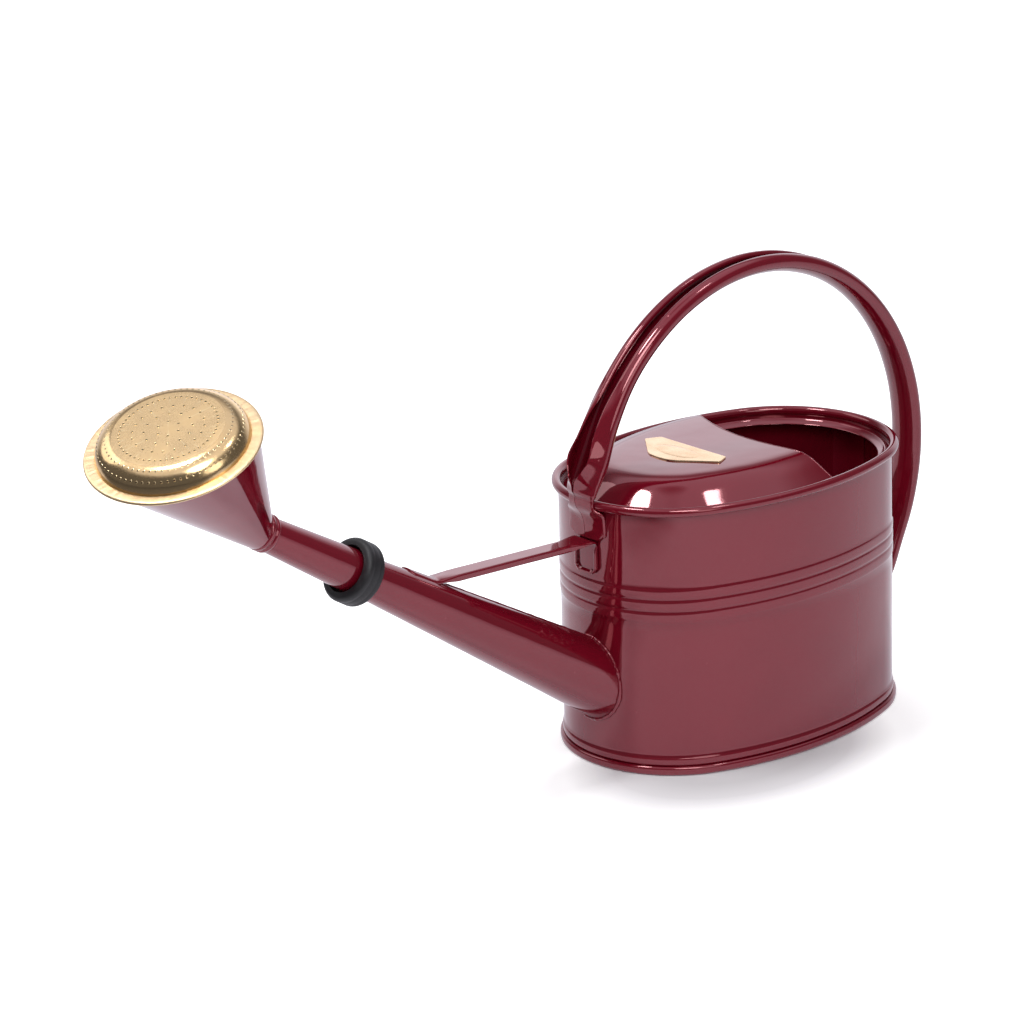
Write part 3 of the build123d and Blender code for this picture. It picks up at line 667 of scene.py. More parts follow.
front_top = Vector((120.5, 171.1))
rear_top = Vector((-116.65, 35.0))
handle_line = [Vector((116.7, 145.6)), Vector((116.7, 159.6)), Vector((120.2, 164.6)), front_top]
handle_line += [hoop_at(front_angle + (rear_angle - front_angle) * i / 91) for i in range(92)]
handle_line += [rear_top, Vector((-116.65, 20.1))]


def eased_path(line, rounds):
    """Points about a millimetre apart along a line, with its corners eased."""
    path = [line[0]]
    for start, stop in zip(line, line[1:]):
        steps = max(1, round((stop - start).length))
        path += [start + (stop - start) * (k + 1) / steps for k in range(steps)]
    for _ in range(rounds):
        inner = [(a + b * 2 + c) / 4 for a, b, c in zip(path, path[1:], path[2:])]
        path = [path[0]] + inner + [path[-1]]
    return path


def runs_along(path):
    """Length run from a path's start to each of its points."""
    runs = [0.0]
    for start, stop in zip(path, path[1:]):
        runs.append(runs[-1] + (stop - start).length)
    return runs


def heading_at(path, i):
    """Direction of a path at one of its points."""
    return (path[min(len(path) - 1, i + 1)] - path[max(0, i - 1)]).normalized()


handle_path = eased_path(handle_line, 6)
handle_run = runs_along(handle_path)


def run_near(point):
    """Run along the handle's line that comes nearest to a point."""
    return min(zip(handle_run, handle_path), key=lambda pair: (pair[1] - point).length)[0]


front_start = hoop_at(front_angle)
rear_start = hoop_at(rear_angle)
front_leg = front_start - front_top
rear_leg = rear_top - rear_start
rim_run = run_near(front_top)
rear_run = run_near(rear_top)
spread_run = run_near(front_top + front_leg * 0.50)
# Sections along the strip: depth, half its flat back, radius and turn of the bend, wing, radius
# and turn of the lip
tab_tip = (2.0, 10.2, 0.52, 180, 10.0, 0.6, 0)
tab_full = (2.0, 14.5, 0.52, 180, 14.3, 0.6, 0)
neck = (2.2, 9.4, 0.6, 180, 9.2, 0.6, 0)
closing = (4.6, 10.0, 1.8, 166, 9.6, 1.2, 8)
spread = (10.2, 9.4, 4.6, 110, 9.4, 1.5, 20)
easing = (10.9, 9.4, 4.9, 132, 5.6, 1.5, 70)
rolled = (12.0, 9.4, 4.55, 180, 0.4, 1.5, 128)
rear_easing = (10.4, 9.4, 4.4, 160, 3.0, 1.5, 90)
rear_closing = (4.6, 8.2, 1.8, 166, 7.8, 1.2, 8)
handle_keys = (
    (0.0, tab_tip),
    (2.6, tab_full),
    (15.0, tab_full),
    (run_near(Vector((120.3, 166.0))), neck),
    (rim_run, neck),
    (run_near(front_top + front_leg * 0.08), closing),
    (spread_run, spread),
    (run_near(front_start), easing),
    (run_near(hoop_at(43.0)), rolled),
    (run_near(rear_start), rolled),
    (run_near(rear_start + rear_leg * 0.4), rear_easing),
    (run_near(rear_start + rear_leg * 0.85), rear_closing),
    (rear_run, tab_full),
    (handle_run[-1] - 4.6, tab_full),
    (handle_run[-1], tab_tip),
)


def either_side(stations, run):
    """The two stations of a strip that a run along it lies between."""
    for first, second in zip(stations, stations[1:]):
        if run <= second[0]:
            break
    return first, second


def key_sizes(run):
    """Sizes of the rolled strip's section at a run along it, eased between two stations."""
    (first_run, first), (second_run, second) = either_side(handle_keys, run)
    share = smooth(first_run, second_run, run)
    return [a + (b - a) * share for a, b in zip(first, second)]


def handle_sizes(run):
    """Sizes of the section at a run, averaged over a short stretch away from the flat ends."""
    stretch = 2.4 * smooth(rim_run, rim_run + 9, run) * smooth(rear_run, rear_run - 9, run)
    samples = [key_sizes(run + stretch * k) for k in range(-3, 4)]
    return [sum(values) / len(values) for values in zip(*samples)]


def rolled_section(depth, flat, bend, bend_turn, wing, lip, lip_turn):
    """Closed outline, across and outwards, of a strip with round bends, wings and curled lips."""
    half_wall = 0.45
    across, out, course = 0.0, half_wall - depth / 2, 0.0
    spots = []
    back_turn = radians(0.28 * lip_turn)
    bend_turn, lip_turn = radians(bend_turn) - back_turn, radians(lip_turn)
    back = (flat, back_turn, 8)
    side = (bend * bend_turn, bend_turn, 16)
    curl = (lip * lip_turn, lip_turn, 8)
    for length, turn, steps in (back, side, (wing, 0, 5), curl):
        for _ in range(steps):
            spots.append((across, out, course))
            across += length / steps * cos(course + turn / steps / 2)
            out += length / steps * sin(course + turn / steps / 2)
            course += turn / steps
    spots.append((across, out, course))
    half = [(a + half_wall * sin(c), o - half_wall * cos(c)) for a, o, c in spots]
    half += [(a - half_wall * sin(c), o + half_wall * cos(c)) for a, o, c in reversed(spots)]
    return half + [(-a, b) for a, b in reversed(half[1:-1])]


tab_bow = end_radius + 1.1
aside_most = 4.0
handle_rows = []
for i, (run, middle) in enumerate(zip(handle_run, handle_path)):
    heading = heading_at(handle_path, i)
    outwards = Vector((heading.y, 0, -heading.x))
    sizes = handle_sizes(run)
    aside = aside_most * smooth(4, rim_run, run) * smooth(spread_run, rim_run + 5, run)
    flat = 1 - smooth(2.2, 5.0, sizes[0])
    row = []
    section = rolled_section(*sizes)
    half_span = max(across for across, _ in section)
    for across, out in section:
        if out > 0.9 - sizes[0] / 2:
            across -= aside * (1 - abs(across) / half_span)
        out -= flat * (tab_bow - sqrt(tab_bow * tab_bow - across * across))
        spot = Vector((middle.x, across, middle.y)) + outwards * out
        crumple = flat * 0.45 * unevenness(*spot, 6.0, 9.1) + 0.09 * unevenness(*spot, 21, 2.4) - 0.13
        row.append(tuple(spot + outwards * crumple))
    handle_rows.append(row)
handle = skin("handle_enamel", handle_rows, caps=True, sharp=65)
dress(handle, enamel("handle_enamel", ripple=1.0, nibs=1.6), "can", "enamel", "handle")

# Spout
# Tapered tube rolled from steel sheet, with the raised lap of its soldered seam along the top.
# Its root is cut to the wall, and a few shallow dents are left from spot welding.
spout_columns = 144
seam_end = 142.0
# Reach, degrees round from the top, size and depth of each dent
spout_dents = ((38.0, 58, 1.7, 0.34), (46.0, 53, 1.5, 0.34))
spout_dents += ((56.5, 56, 1.5, 0.3), (66.5, 57, 1.4, 0.26))


def wall_reach(angle, out):
    """Reach at which a line along the spout's skin meets the wall, moved outwards."""
    return home_in(-40.0, 60.0, lambda reach: depth_inside(*spout_spot(reach, angle, 0).xy) > -out)


def spout_spot(reach, angle, lift):
    """Point of the spout's skin: angle from its top towards the can's left side."""
    out = spout_up * cos(angle) + spout_side * sin(angle)
    return spout_root + spout_along * reach + out * (spout_radius(reach) + lift)


def spout_lift(reach, angle):
    """Rise of the seam's lap and the dents, outside the plain cone."""
    turn = (angle + pi) % (2 * pi) - pi
    away = abs(turn) * spout_radius(reach)
    half = 3.3 + 0.45 * unevenness(reach, 0, 0, 7.0, 1.3)
    lap = smooth(half + 0.5, half - 0.5, away) * smooth(seam_end + 1, seam_end - 3, reach)
    rise = lap * (0.55 + 0.22 * unevenness(reach, turn * 4, 0, 5.0, 4.0))
    for place, degrees_round, size, depth in spout_dents:
        gap = hypot(reach - place, (turn - radians(degrees_round)) * spout_radius(reach))
        rise -= depth * max(0, 1 - (gap / size) ** 2)
    return rise + 0.05 * unevenness(reach, 20 * turn, 3, 26, 6.0)


spout_shares = [0, 0.004, 0.01, 0.02] + [0.03 + 0.97 * i / 140 for i in range(141)]
spout_angles = around(spout_columns)
spout_starts = [wall_reach(angle, 0.1) for angle in spout_angles]


def spout_row(share, inside):
    """Ring of the spout's outer or inner side at a share of the way from the wall to its tip."""
    row = []
    for angle, start in zip(spout_angles, spout_starts):
        reach = start + (spout_length - start) * share
        row.append(tuple(spout_spot(reach, angle, -sheet if inside else spout_lift(reach, angle))))
    return row


spout_rows = [spout_row(share, False) for share in spout_shares]
spout_rows += [spout_row(share, True) for share in (1.0, 0.75, 0.5, 0.25, 0.0)]
spout = skin("spout_enamel", spout_rows, close_rows=True, sharp=60)
spout_enamel = enamel("spout_enamel", ripple=0.9)
dress(spout, spout_enamel, "can", "enamel", "spout")

# Weld round the spout's root
# Bead of filler metal laid by hand between spout and wall, lumpy, brushed and enamelled over.
weld_steps = 220
weld_sides = 14
weld_wide = 1.45
weld_high = 1.5
weld_rows = []
for angle in around(weld_steps):
    reach = wall_reach(angle, 0.3)
    middle = spout_spot(reach, angle, 0.3)
    share = atan2(middle.y, middle.x - end_middle)
    outwards = Vector((cos(share), sin(share), 0))
    up = spout_up * cos(angle) + spout_side * sin(angle)
    up = (up - outwards * up.dot(outwards)).normalized()
    lump = 0.72 + 0.3 * unevenness(*middle, 2.6, 8.0) + 0.3 * unevenness(*middle, 9, 2.0)
    row = []
    for turn in around(weld_sides):
        bead = outwards * cos(turn) * weld_wide + up * sin(turn) * weld_high
        row.append(tuple(middle + bead * lump))
    weld_rows.append(row)
spout_weld = skin("spout_weld_enamel", weld_rows, close_rows=True, sharp=80)
dress(spout_weld, enamel("weld_enamel", ripple=1.4, nibs=2.0), "can", "enamel", "spout_weld")

# Brace
# Steel strip between body and spout. Its edges are folded down between the ends; one end is turned
# down on the wall as a shallow channel, the other lies along the spout, and both are spot welded.
brace_reach = 150.5
brace_end = brace_reach + 22.0
strap_stop = spout_root + spout_along * brace_reach + spout_up * (spout_radius(brace_reach) + 0.5)
spout_stop = spout_root + spout_along * brace_end + spout_up * (spout_radius(brace_end) + 0.6)
brace_line = [
    Vector((116.15, 123.6)),
    Vector((116.15, 143.2)),
    Vector((117.2, 144.3)),
    Vector((strap_stop.x, strap_stop.z)),
    Vector((spout_stop.x, spout_stop.z)),
]
brace_path = eased_path(brace_line, 3)
brace_run = runs_along(brace_path)
strap_from = 20.5
strap_to = strap_from + (brace_line[3] - brace_line[2]).length
# Run, width, drop of the folded edges, share of the spout's roundness and thickness of the edges
brace_keys = (
    (0.0, 13.0, 2.8, 0.0, 1.5),
    (3.2, 18.9, 2.8, 0.0, 1.5),
    (14.0, 18.9, 2.6, 0.0, 1.5),
    (19.0, 18.9, 1.25, 0.0, 1.0),
    (strap_from + 3, 18.9, 1.25, 0.0, 0.95),
    (strap_from + 17, 13.0, 3.9, 0.0, 0.95),
    (strap_to - 14, 13.0, 3.9, 0.0, 0.95),
    (strap_to - 2, 13.6, 1.6, 0.5, 0.95),
    (strap_to + 4, 13.4, 1.25, 1.0, 0.95),
    (brace_run[-1] - 3, 12.6, 1.25, 1.0, 0.95),
    (brace_run[-1], 9.0, 1.25, 1.0, 0.95),
)
foot_lip = 1.5


def folded_section(width, drop, edge, filled):
    """Closed outline, across and upwards, of a strip with folded edges, or of its end filled up."""
    web = 0.95
    bend = 1.15
    ease = 0.2
    low = -max(drop, bend + 0.05)
    under = low if filled else -web
    inside = width / 2 - edge
    outside = width / 2
    turns = [pi / 2 * k / 6 for k in range(7)]
    half = [(k * (outside - bend) / 4, 0) for k in range(4)]
    half += [(outside - bend + bend * sin(a), -bend + bend * cos(a)) for a in turns]
    half += [(outside, (low - bend) / 2), (outside, low + ease)]
    half += [(outside - ease, low), (inside + ease, low)]
    half += [(inside, low if filled else low + ease), (inside, under if filled else under - 0.1)]
    half += [(k * inside / 4, under) for k in (3, 2, 1, 0)]
    return half + [(-a, b) for a, b in reversed(half[1:-1])]


wall_bow = end_radius + 0.2
spout_bow = 14.8
brace_rows = []
for i, (run, middle) in enumerate(zip(brace_run, brace_path)):
    heading = heading_at(brace_path, i)
    upwards = Vector((-heading.y, 0, heading.x))
    first, second = either_side(brace_keys, run)
    share = min(1, max(0, (run - first[0]) / (second[0] - first[0])))
    width, drop, saddle, edge = [a + (b - a) * share for a, b in zip(first[1:], second[1:])]
    on_wall = smooth(21.5, 16.0, run)
    row = []
    for across, up in folded_section(width, drop, edge, run < foot_lip):
        up += on_wall * (wall_bow - sqrt(wall_bow**2 - across**2))
        up -= saddle * (spout_bow - sqrt(spout_bow**2 - across**2))
        spot = Vector((middle.x, across, middle.y)) + upwards * (up + 0.45)
        spot += upwards * 0.09 * unevenness(*spot, 16, 3.3)
        row.append(tuple(spot))
    brace_rows.append(row)
brace = skin("brace_enamel", brace_rows, caps=True, sharp=60)
dress(brace, enamel("brace_enamel", ripple=0.7, nibs=1.4), "can", "enamel", "brace")

# Rubber ring
# Black moulded rubber ring round the spout that the rose's stem pushes into. It has round
# shoulders and two shallow grooves, and is matt with a little bloom.
rubber_group, rubber_in, rubber_out = new_group(
    "moulded_rubber",
    (("Color", "NodeSocketColor", (0.013, 0.012, 0.014, 1)),),
)
tree = rubber_group
place = put(tree, "ShaderNodeTexCoord").outputs["Object"]
bloom = waves(tree, place, 90.0, 4.0, 0.65)
fine = waves(tree, place, 1500.0, 2.0)
bloom_black = (0.034, 0.032, 0.036, 1)
bloomed = blend(tree, ramp(tree, bloom, 0.45, 0.75, 0.0, 0.5), rubber_in.outputs["Color"], bloom_black)
put_out(tree, rubber_out, bloomed, ramp(tree, bloom, 0.3, 0.7, 0.42, 0.55), fine)
ring_reach = spout_length - 37.25
ring_half = 7.0
ring_outer = 19.3
ring_round = 3.0
ring_recess = 14.3
shoulder_out = ring_half - ring_round
shoulder_up = ring_outer - ring_round
shoulder_turns = [pi / 2 * k / 7 for k in range(8)]
groove_section = ((-0.9, 0), (-0.45, 0.1), (0, 0.16), (0.45, 0.1), (0.9, 0))
ring_profile = [(-ring_half, 12.4), (-ring_half, 16.0)]
for a in shoulder_turns:
    ring_profile.append((-shoulder_out - ring_round * cos(a), shoulder_up + ring_round * sin(a)))
for groove in (-2.2, 2.2):
    ring_profile += [(groove + away, ring_outer - sink) for away, sink in groove_section]
for a in shoulder_turns:
    ring_profile.append((shoulder_out + ring_round * sin(a), shoulder_up + ring_round * cos(a)))
ring_profile += [(ring_half, ring_recess), (1.5, ring_recess), (1.5, 12.42)]
ring_middle = spout_root + spout_along * ring_reach
ring_rows = turned(ring_middle, spout_along, spout_up, ring_profile, 96)
seal_ring = skin("ring_rubber", ring_rows, close_rows=True)
ring_rubber = finish_material("ring_rubber", rubber_group, {}, 0.00004, {"Specular IOR Level": 0.4})
dress(seal_ring, ring_rubber, "ring", "rubber", "seal_ring")

# Rose stem and collar
# Tapered steel sleeve with a flared mouth that pushes over the spout's tip, and the rolled
# collar where it is soldered to the cone.
push_gap = 0.35
recess_depth = 5.5
stem_start = ring_reach + ring_half - recess_depth + push_gap
stem_end = spout_length + 36.0
stem_mouth = spout_radius(stem_start) + push_gap + sheet
stem_top = 10.0
flare_end = stem_start + 1.2


def stem_radius(reach):
    """Outer radius of the rose's stem."""
    return stem_mouth + (stem_top - stem_mouth) * (reach - stem_start) / (stem_end - stem_start)


stem_reaches = [stem_start + 2.5 + (stem_end - stem_start - 2.5) * i / 30 for i in range(31)]
stem_profile = [(stem_start, stem_mouth + 1.0), (flare_end, stem_radius(flare_end) + 0.35)]
stem_profile += [(reach, stem_radius(reach)) for reach in stem_reaches]
stem_profile += [(reach, stem_radius(reach) - sheet) for reach in reversed(stem_reaches[::6])]
stem_profile += [(flare_end, stem_radius(flare_end) - 0.4), (stem_start, stem_mouth + 0.2)]


def stem_waves(point, out, reach, radius, angle):
    """Slight waves of the rolled sleeve."""
    return out * 0.04 * unevenness(*point, 14, 5.5)


rose_enamel = enamel("rose_enamel", ripple=0.8)
stem_rows = turned(spout_root, spout_along, spout_up, stem_profile, 96, stem_waves)
rose_stem = skin("rose_stem_enamel", stem_rows, close_rows=True)
dress(rose_stem, rose_enamel, "rose", "enamel", "rose_stem")
collar_half = 3.25
collar_profile = [(-collar_half, 10.25), (-3.2, 10.7), (-2.9, 11.1), (-2.3, 11.35), (-1.6, 11.4)]
collar_profile += [(-0.9, 11.2), (-0.4, 10.85), (0.0, 10.75), (0.4, 10.9), (0.9, 11.25), (1.6, 11.45)]
collar_profile += [(2.4, 11.4), (3.0, 11.15), (collar_half, 10.9), (collar_half, 10.25)]
collar_middle = spout_root + spout_along * stem_end
collar_rows = turned(collar_middle, spout_along, spout_up, collar_profile, 96, stem_waves)
rose_collar = skin("rose_collar_enamel", collar_rows, close_rows=True)
dress(rose_collar, rose_enamel, "rose", "enamel", "rose_collar")

# Rose cone
# Oblique cone of steel sheet from the collar to the face, with a narrow flange that the
# brass face is folded over.
rose_turn = radians(15.7)
face_tilt = radians(39.1)
rose_up = spout_up * cos(rose_turn) + spout_side * sin(rose_turn)
face_reach = spout_length + 123.1
face_rise = 24.0
face_middle = spout_root + spout_along * face_reach + rose_up * face_rise
face_out = spout_along * cos(face_tilt) + rose_up * sin(face_tilt)
face_up = rose_up * cos(face_tilt) - spout_along * sin(face_tilt)
neck_middle = spout_root + spout_along * (stem_end + collar_half)
rose_side = spout_along.cross(rose_up)
face_side = face_out.cross(face_up)
cone_columns = 144
cone_neck = 11.05
cone_mouth = 47.1
flange_radius = 49.0


def face_way(angle):
    """Direction from the face's axis at an angle round it."""
    return face_up * cos(angle) + face_side * sin(angle)


def cone_row(share, inset):
    """Ring of the cone between its neck and its rim, drawn in by an inset."""
    row = []
    for angle in around(cone_columns):
        neck = neck_middle + (rose_up * cos(angle) + rose_side * sin(angle)) * (cone_neck - inset)
        rim = face_middle - face_out * sheet + face_way(angle) * (cone_mouth - inset)
        spot = neck + (rim - neck) * share
        away = (spot - (neck_middle + (face_middle - neck_middle) * share)).normalized()
        spot += away * 0.09 * unevenness(*spot, 30, 1.7) * min(1, 4 * share * (1.02 - share))
        row.append(tuple(spot))
    return row


def face_row(radius, height):
    """Ring about the face's axis."""
    middle = face_middle + face_out * height
    return [tuple(middle + face_way(angle) * radius) for angle in around(cone_columns)]


cone_rows = [cone_row(i / 40, 0) for i in range(41)]
cone_rows += [face_row(flange_radius, -sheet), face_row(flange_radius, 0.0)]
cone_rows.append(face_row(cone_mouth - sheet, 0.0))
cone_rows += [cone_row(share, sheet) for share in (1.0, 0.75, 0.5, 0.25, 0.0)]
rose_cone = skin("rose_cone_enamel", cone_rows, close_rows=True, sharp=50)
dress(rose_cone, rose_enamel, "rose", "enamel", "rose_cone")

# Brass face of the rose
# Thin brass pressed into a dome with a flat middle and drilled with rings of fine holes. Its edge
# is folded over the cone's flange, which leaves it crinkled.
face_columns = 288
dome_flat = 30.8
dome_round = 12.8
dome_low = -0.98
dome_turn = radians(82.8)
brass_sheet = 0.7


def dome_spot(radius):
    """Height of the dome's outer side at a radius, and how far its sheet is turned over there."""
    turn = asin(min(1, max(0, radius - dome_flat) / dome_round))
    return dome_low + dome_round * cos(turn), turn


dome_turns = [dome_turn * k / 26 for k in range(27)]
face_profile = [(dome_low + dome_round, radius) for radius in (0.6, 4, 8, 12, 16, 20, 24, 28)]
face_profile += [(dome_low + dome_round * cos(a), dome_flat + dome_round * sin(a)) for a in dome_turns]
face_profile += [(0.64, 44.2), (0.64, 45.2), (0.64, 46.5), (0.64, 48.0), (0.56, 48.9), (0.3, 49.5)]
face_profile += [(-0.2, 49.8), (-0.6, 49.82), (-0.9, 49.65), (-0.97, 49.35), (-0.8, 49.12)]
face_profile += [(-0.05, 49.12), (0.04, 46.0), (0.04, 43.2)]
inner_round = dome_round - brass_sheet
for a in reversed(dome_turns[::2]):
    face_profile.append((dome_low + inner_round * cos(a), dome_flat + inner_round * sin(a)))
face_profile += [(dome_low + inner_round, radius) for radius in (24, 12, 0.6)]


def face_crinkle(point, out, reach, radius, angle):
    """Fine folds of the pressed edge, strongest on the low shoulder and the flange."""
    before_fold = 1 - smooth(48.7, 49.4, radius)
    low = smooth(41.0, 44.5, radius) * before_fold
    folds = unevenness(angle * 46, radius * 0.10, 0, 1.0, 3.0)
    swell = 0.05 * unevenness(*point, 11, 4.4) * smooth(8, 30, radius) - 0.03
    return face_out * (low * 0.16 * folds + swell * before_fold)


face_rows = turned(face_middle, face_out, face_up, face_profile, face_columns, face_crinkle)
rose_face = skin("rose_face_brass", face_rows, caps=True, sharp=60)
hole_radius = 0.4
hole_sides = 8
# Radius, number of holes and share of the burrs' height of each ring
hole_rings = ((6.5, 6, 1.0), (13.5, 12, 1.0), (20.0, 20, 1.0))
hole_rings += ((27.4, 54, 1.0), (35.3, 64, 0.3), (40.6, 72, 1.0))
burr_profile = ((0.40, -0.25), (0.85, -0.12), (0.62, 0.16), (0.40, 0.12))
drill_points, drill_faces, burr_points, burr_faces = [], [], [], []
for circle, count, raised in hole_rings:
    height, turn = dome_spot(circle)
    for angle in around(count):
        radial = face_way(angle)
        spot = face_middle + face_out * height + radial * circle
        out = face_out * cos(turn) + radial * sin(turn)
        first = radial * cos(turn) - face_out * sin(turn)
        second = out.cross(first)
        rim = [first * cos(a) + second * sin(a) for a in around(hole_sides)]
        base = len(drill_points)
        for lift in (-2, 2):
            drill_points += [(spot + out * lift + way * hole_radius) / 1000 for way in rim]
        for k in range(hole_sides):
            n = (k + 1) % hole_sides
            drill_faces.append((base + k, base + n, base + hole_sides + n, base + hole_sides + k))
        drill_faces.append(tuple(base + k for k in reversed(range(hole_sides))))
        drill_faces.append(tuple(base + hole_sides + k for k in range(hole_sides)))
        base = len(burr_points)
        for reach, lift in burr_profile:
            burr_points += [(spot + out * lift * raised + way * reach) / 1000 for way in rim]
        for ring in range(len(burr_profile)):
            below = base + ring * hole_sides
            above = base + (ring + 1) % len(burr_profile) * hole_sides
            for k in range(hole_sides):
                n = (k + 1) % hole_sides
                burr_faces.append((below + k, below + n, above + n, above + k))
cut_away(rose_face, plain_mesh("hole_drills", drill_points, drill_faces, 60), 60)
face_brass = brass("face_brass", (0.80, 0.57, 0.30), (0.70, 0.48, 0.23), 0.3, 0.2, 0.2, 0.00006)
edge_brass = brass("edge_brass", (0.80, 0.57, 0.30), (0.62, 0.40, 0.18), 0.35, 0.1, 0.3, 0.0002)
flange_brass = brass("flange_brass", (0.93, 0.70, 0.42), (0.80, 0.54, 0.26), 0.4, 0.3, 0.4, 0.0003)
dress(rose_face, face_brass, "rose", "brass", "rose_face")
rose_face.data.materials.append(edge_brass)
rose_face.data.materials.append(flange_brass)
flat_edge = dome_flat + 0.6
dome_foot = 43.8
for polygon in rose_face.data.polygons:
    away = polygon.center * 1000 - face_middle
    from_axis = (away - face_out * away.dot(face_out)).length
    polygon.material_index = 0 if from_axis < flat_edge else 1 if from_axis < dome_foot else 2

# Burrs of the water holes
# Thin raised lips that the drill left round each hole of the brass face.
face_burrs = plain_mesh("face_burrs", burr_points, burr_faces, 60)
dress(face_burrs, edge_brass, "rose", "brass")

# Stage
# Plain white paper floor and a white room, lit by soft oval lamps. For the camera the floor keeps the
# can's real shadow and also has a painted shadow round the can's foot, with its paper darkened and its
# white glow held back near the can. In the enamel it glows evenly, dimmer far ahead of the spout.
floor_half = 6
floor_mesh = bpy.data.meshes.new("floor")
floor_corners = [(x * floor_half, y * floor_half, 0) for x, y in ((-1, -1), (1, -1), (1, 1), (-1, 1))]
floor_mesh.from_pydata(floor_corners, [], [(0, 1, 2, 3)])
floor = bpy.data.objects.new("floor", floor_mesh)
bpy.context.scene.collection.objects.link(floor)


def vector_maths(tree, operation, first, second, result=0):
    """Result of a vector math node."""
    inputs = {0: first, 1: second}
    return put(tree, "ShaderNodeVectorMath", operation=operation, inputs=inputs).outputs[result]


def mirrored_rays(tree, path):
    """Rays that come off shiny or clear surfaces."""
    shiny, clear = path.outputs["Is Glossy Ray"], path.outputs["Is Transmission Ray"]
    return maths(tree, "ADD", shiny, clear, clamp=True)


ahead_way = (0.94, 0.34, 0.0)
shade_middle = (0.045, 0.05, 0.0)
shade_size = (8.0, 11.0, 0.0)
paper_white = (0.84, 0.84, 0.87, 1)
mirrored_white = (0.245, 0.24, 0.30, 1)
floor_paper = bpy.data.materials.new("floor_paper")
floor_paper.use_nodes = True
tree = floor_paper.node_tree
tree.nodes.clear()
path = put(tree, "ShaderNodeLightPath")
to_camera = path.outputs["Is Camera Ray"]
mirrored = mirrored_rays(tree, path)
ground = put(tree, "ShaderNodeNewGeometry").outputs["Position"]
ahead = vector_maths(tree, "DOT_PRODUCT", ground, ahead_way, "Value")
fade = maths(tree, "MULTIPLY", mirrored, ramp(tree, ahead, 0.48, 0.68, 0.0, 0.87))
level = maths(tree, "SUBTRACT", 1.0, fade)
# Painted shadow on the floor: an oval round the can's foot, set off towards the camera side, sized to
# a shadow.
from_middle = vector_maths(tree, "SUBTRACT", ground, shade_middle)
shade_oval = vector_maths(tree, "MULTIPLY", from_middle, shade_size)
from_shade = vector_maths(tree, "LENGTH", shade_oval, (0.0, 0.0, 0.0), "Value")
# Painted shadow: camera rays see the paper darkened by up to a fifth in the middle of the oval.
shade = maths(tree, "MULTIPLY", to_camera, ramp(tree, from_shade, 0.45, 0.68, 0.2, 0.0))
tone = maths(tree, "MULTIPLY", level, maths(tree, "SUBTRACT", 1.0, shade))
paper_tone = blend(tree, tone, (0.0, 0.0, 0.0, 1), paper_white)
paper = put(tree, "ShaderNodeBsdfDiffuse", inputs={"Color": paper_tone})
# Painted shadow too: for camera rays the floor's white glow is held at nothing near the can and rises
# away from it.
near_floor = ramp(tree, from_shade, 0.66, 0.92, 0.0, 0.4)
open_floor = maths(tree, "ADD", near_floor, ramp(tree, from_shade, 1.0, 2.0, 0.0, 0.6))
glow_share = blend(tree, mirrored, open_floor, mirrored_white)
shine = maths(tree, "MULTIPLY", level, maths(tree, "ADD", to_camera, mirrored, clamp=True))
glow = put(tree, "ShaderNodeEmission", inputs={"Color": glow_share, "Strength": shine})
both = put(tree, "ShaderNodeAddShader", inputs={0: paper.outputs[0], 1: glow.outputs[0]})
end = tree.nodes.new("ShaderNodeOutputMaterial")
tree.links.new(both.outputs[0], end.inputs["Surface"])
floor_mesh.materials.append(floor_paper)

world = bpy.data.worlds.new("studio")
bpy.context.scene.world = world
world.use_nodes = True
tree = world.node_tree
tree.nodes.clear()
path = put(tree, "ShaderNodeLightPath")
aim = put(tree, "ShaderNodeTexCoord").outputs["Generated"]
climb = put(tree, "ShaderNodeSeparateXYZ", inputs={0: aim}).outputs["Z"]
front_way = (cos(radians(45)), sin(radians(45)), 0.0)
facing = vector_maths(tree, "DOT_PRODUCT", aim, front_way, "Value")


def levels(steps):
    """Brightness of the room by height, from steps of (height, level)."""
    scale = put(tree, "ShaderNodeValToRGB", inputs={0: climb})
    stops = scale.color_ramp.elements
    stops[0].position, stops[0].color = steps[0][0], (steps[0][1],) * 3 + (1,)
    stops[1].position, stops[1].color = steps[-1][0], (steps[-1][1],) * 3 + (1,)
    for position, level in steps[1:-1]:
        stops.new(position).color = (level, level, level, 1)
    return scale.outputs[0]


ceiling = ((0.71, 0.3), (0.79, 0.84), (0.98, 0.9), (1.0, 0.3))
backdrop = levels(((0.0, 1.0), (0.30, 1.0), (0.42, 0.78), (0.57, 0.45), (0.64, 0.2)) + ceiling)
room_front = levels(((0.0, 0.13), (0.64, 0.13)) + ceiling)
walls = blend(tree, ramp(tree, facing, -0.85, -0.55), backdrop, room_front)
cool = blend(tree, 1.0, walls, (1.0, 1.0, 1.1, 1), "MULTIPLY")
room = put(tree, "ShaderNodeBackground", inputs={"Color": cool, "Strength": 1.05})
soft = put(tree, "ShaderNodeBackground", inputs={"Color": (1, 1, 1, 1), "Strength": 0.4})
white = put(tree, "ShaderNodeBackground", inputs={"Color": (1, 1, 1, 1), "Strength": 1.0})
lit_parts = {0: mirrored_rays(tree, path), 1: soft.outputs[0], 2: room.outputs[0]}
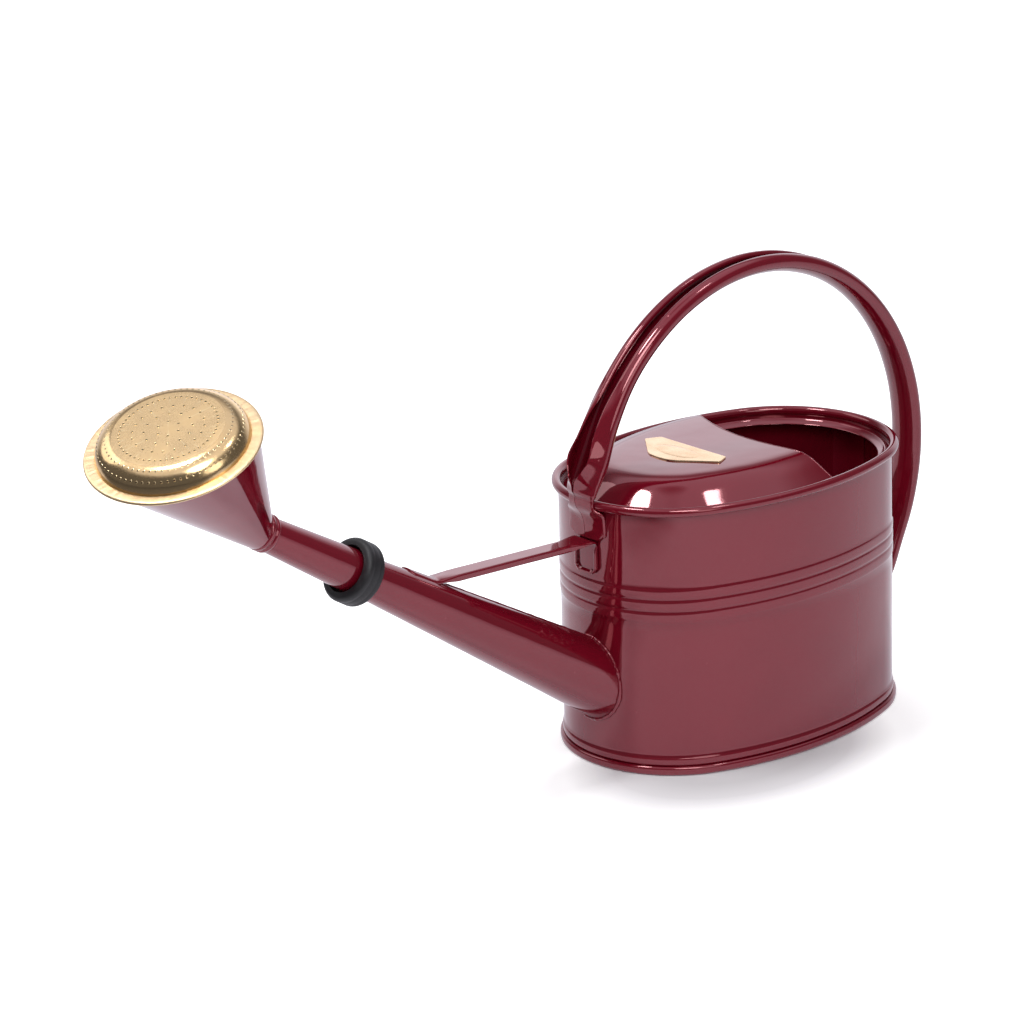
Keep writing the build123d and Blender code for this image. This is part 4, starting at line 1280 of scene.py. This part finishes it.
lit = put(tree, "ShaderNodeMixShader", inputs=lit_parts)
shown_parts = {0: path.outputs["Is Camera Ray"], 1: lit.outputs[0], 2: white.outputs[0]}
shown = put(tree, "ShaderNodeMixShader", inputs=shown_parts)
end = tree.nodes.new("ShaderNodeOutputWorld")
tree.links.new(shown.outputs[0], end.inputs["Surface"])


def softbox(name, place, target, width, height, power):
    """Oval studio lamp aimed at a point."""
    lamp = bpy.data.lights.new(name, "AREA")
    lamp.shape = "ELLIPSE"
    lamp.size = width
    lamp.size_y = height
    lamp.energy = power
    holder = bpy.data.objects.new(name, lamp)
    holder.visible_camera = False
    holder.location = place
    holder.rotation_euler = (Vector(target) - Vector(place)).to_track_quat("-Z", "Y").to_euler()
    bpy.context.scene.collection.objects.link(holder)


softbox("softbox_front", (0.626, -0.277, 1.756), (0.05, 0, 0.1), 0.42, 0.36, 9)
softbox("softbox_rear", (-0.392, 0.579, 1.722), (0.0, 0, 0.1), 0.22, 0.14, 1.3)
softbox("softbox_left", (0.78, -1.32, 1.31), (0.2, 0, 0.15), 1.0, 1.05, 4)
softbox("softbox_right", (0.257, 0.935, 0.61), (0.4, 0, 0.25), 0.5, 0.5, 1.2)
softbox("softbox_back", (-1.41, -1.51, 0.98), (0.0, 0, 0.17), 1.5, 0.8, 0.9)
softbox("softbox_main", (0.74, 1.27, 1.84), (0.05, 0, 0.15), 0.9, 0.9, 15)

lens = bpy.data.cameras.new("camera")
lens.lens = 135.209
lens.sensor_width = 36.0
lens.clip_end = 50.0
camera = bpy.data.objects.new("camera", lens)
sight_right = Vector((-0.7591026, 0.6502641, -0.0303296))
sight_up = Vector((-0.2282183, -0.2222039, 0.9479145))
sight_back = Vector((0.6096554, 0.7264861, 0.3170778))
turn = Matrix((sight_right, sight_up, sight_back)).transposed().to_4x4()
camera_place = (1.547842, 1.637731, 0.889532)
camera.matrix_world = Matrix.Translation(camera_place) @ turn
bpy.context.scene.collection.objects.link(camera)
bpy.context.scene.camera = camera
bpy.context.scene.view_settings.view_transform = "Standard"
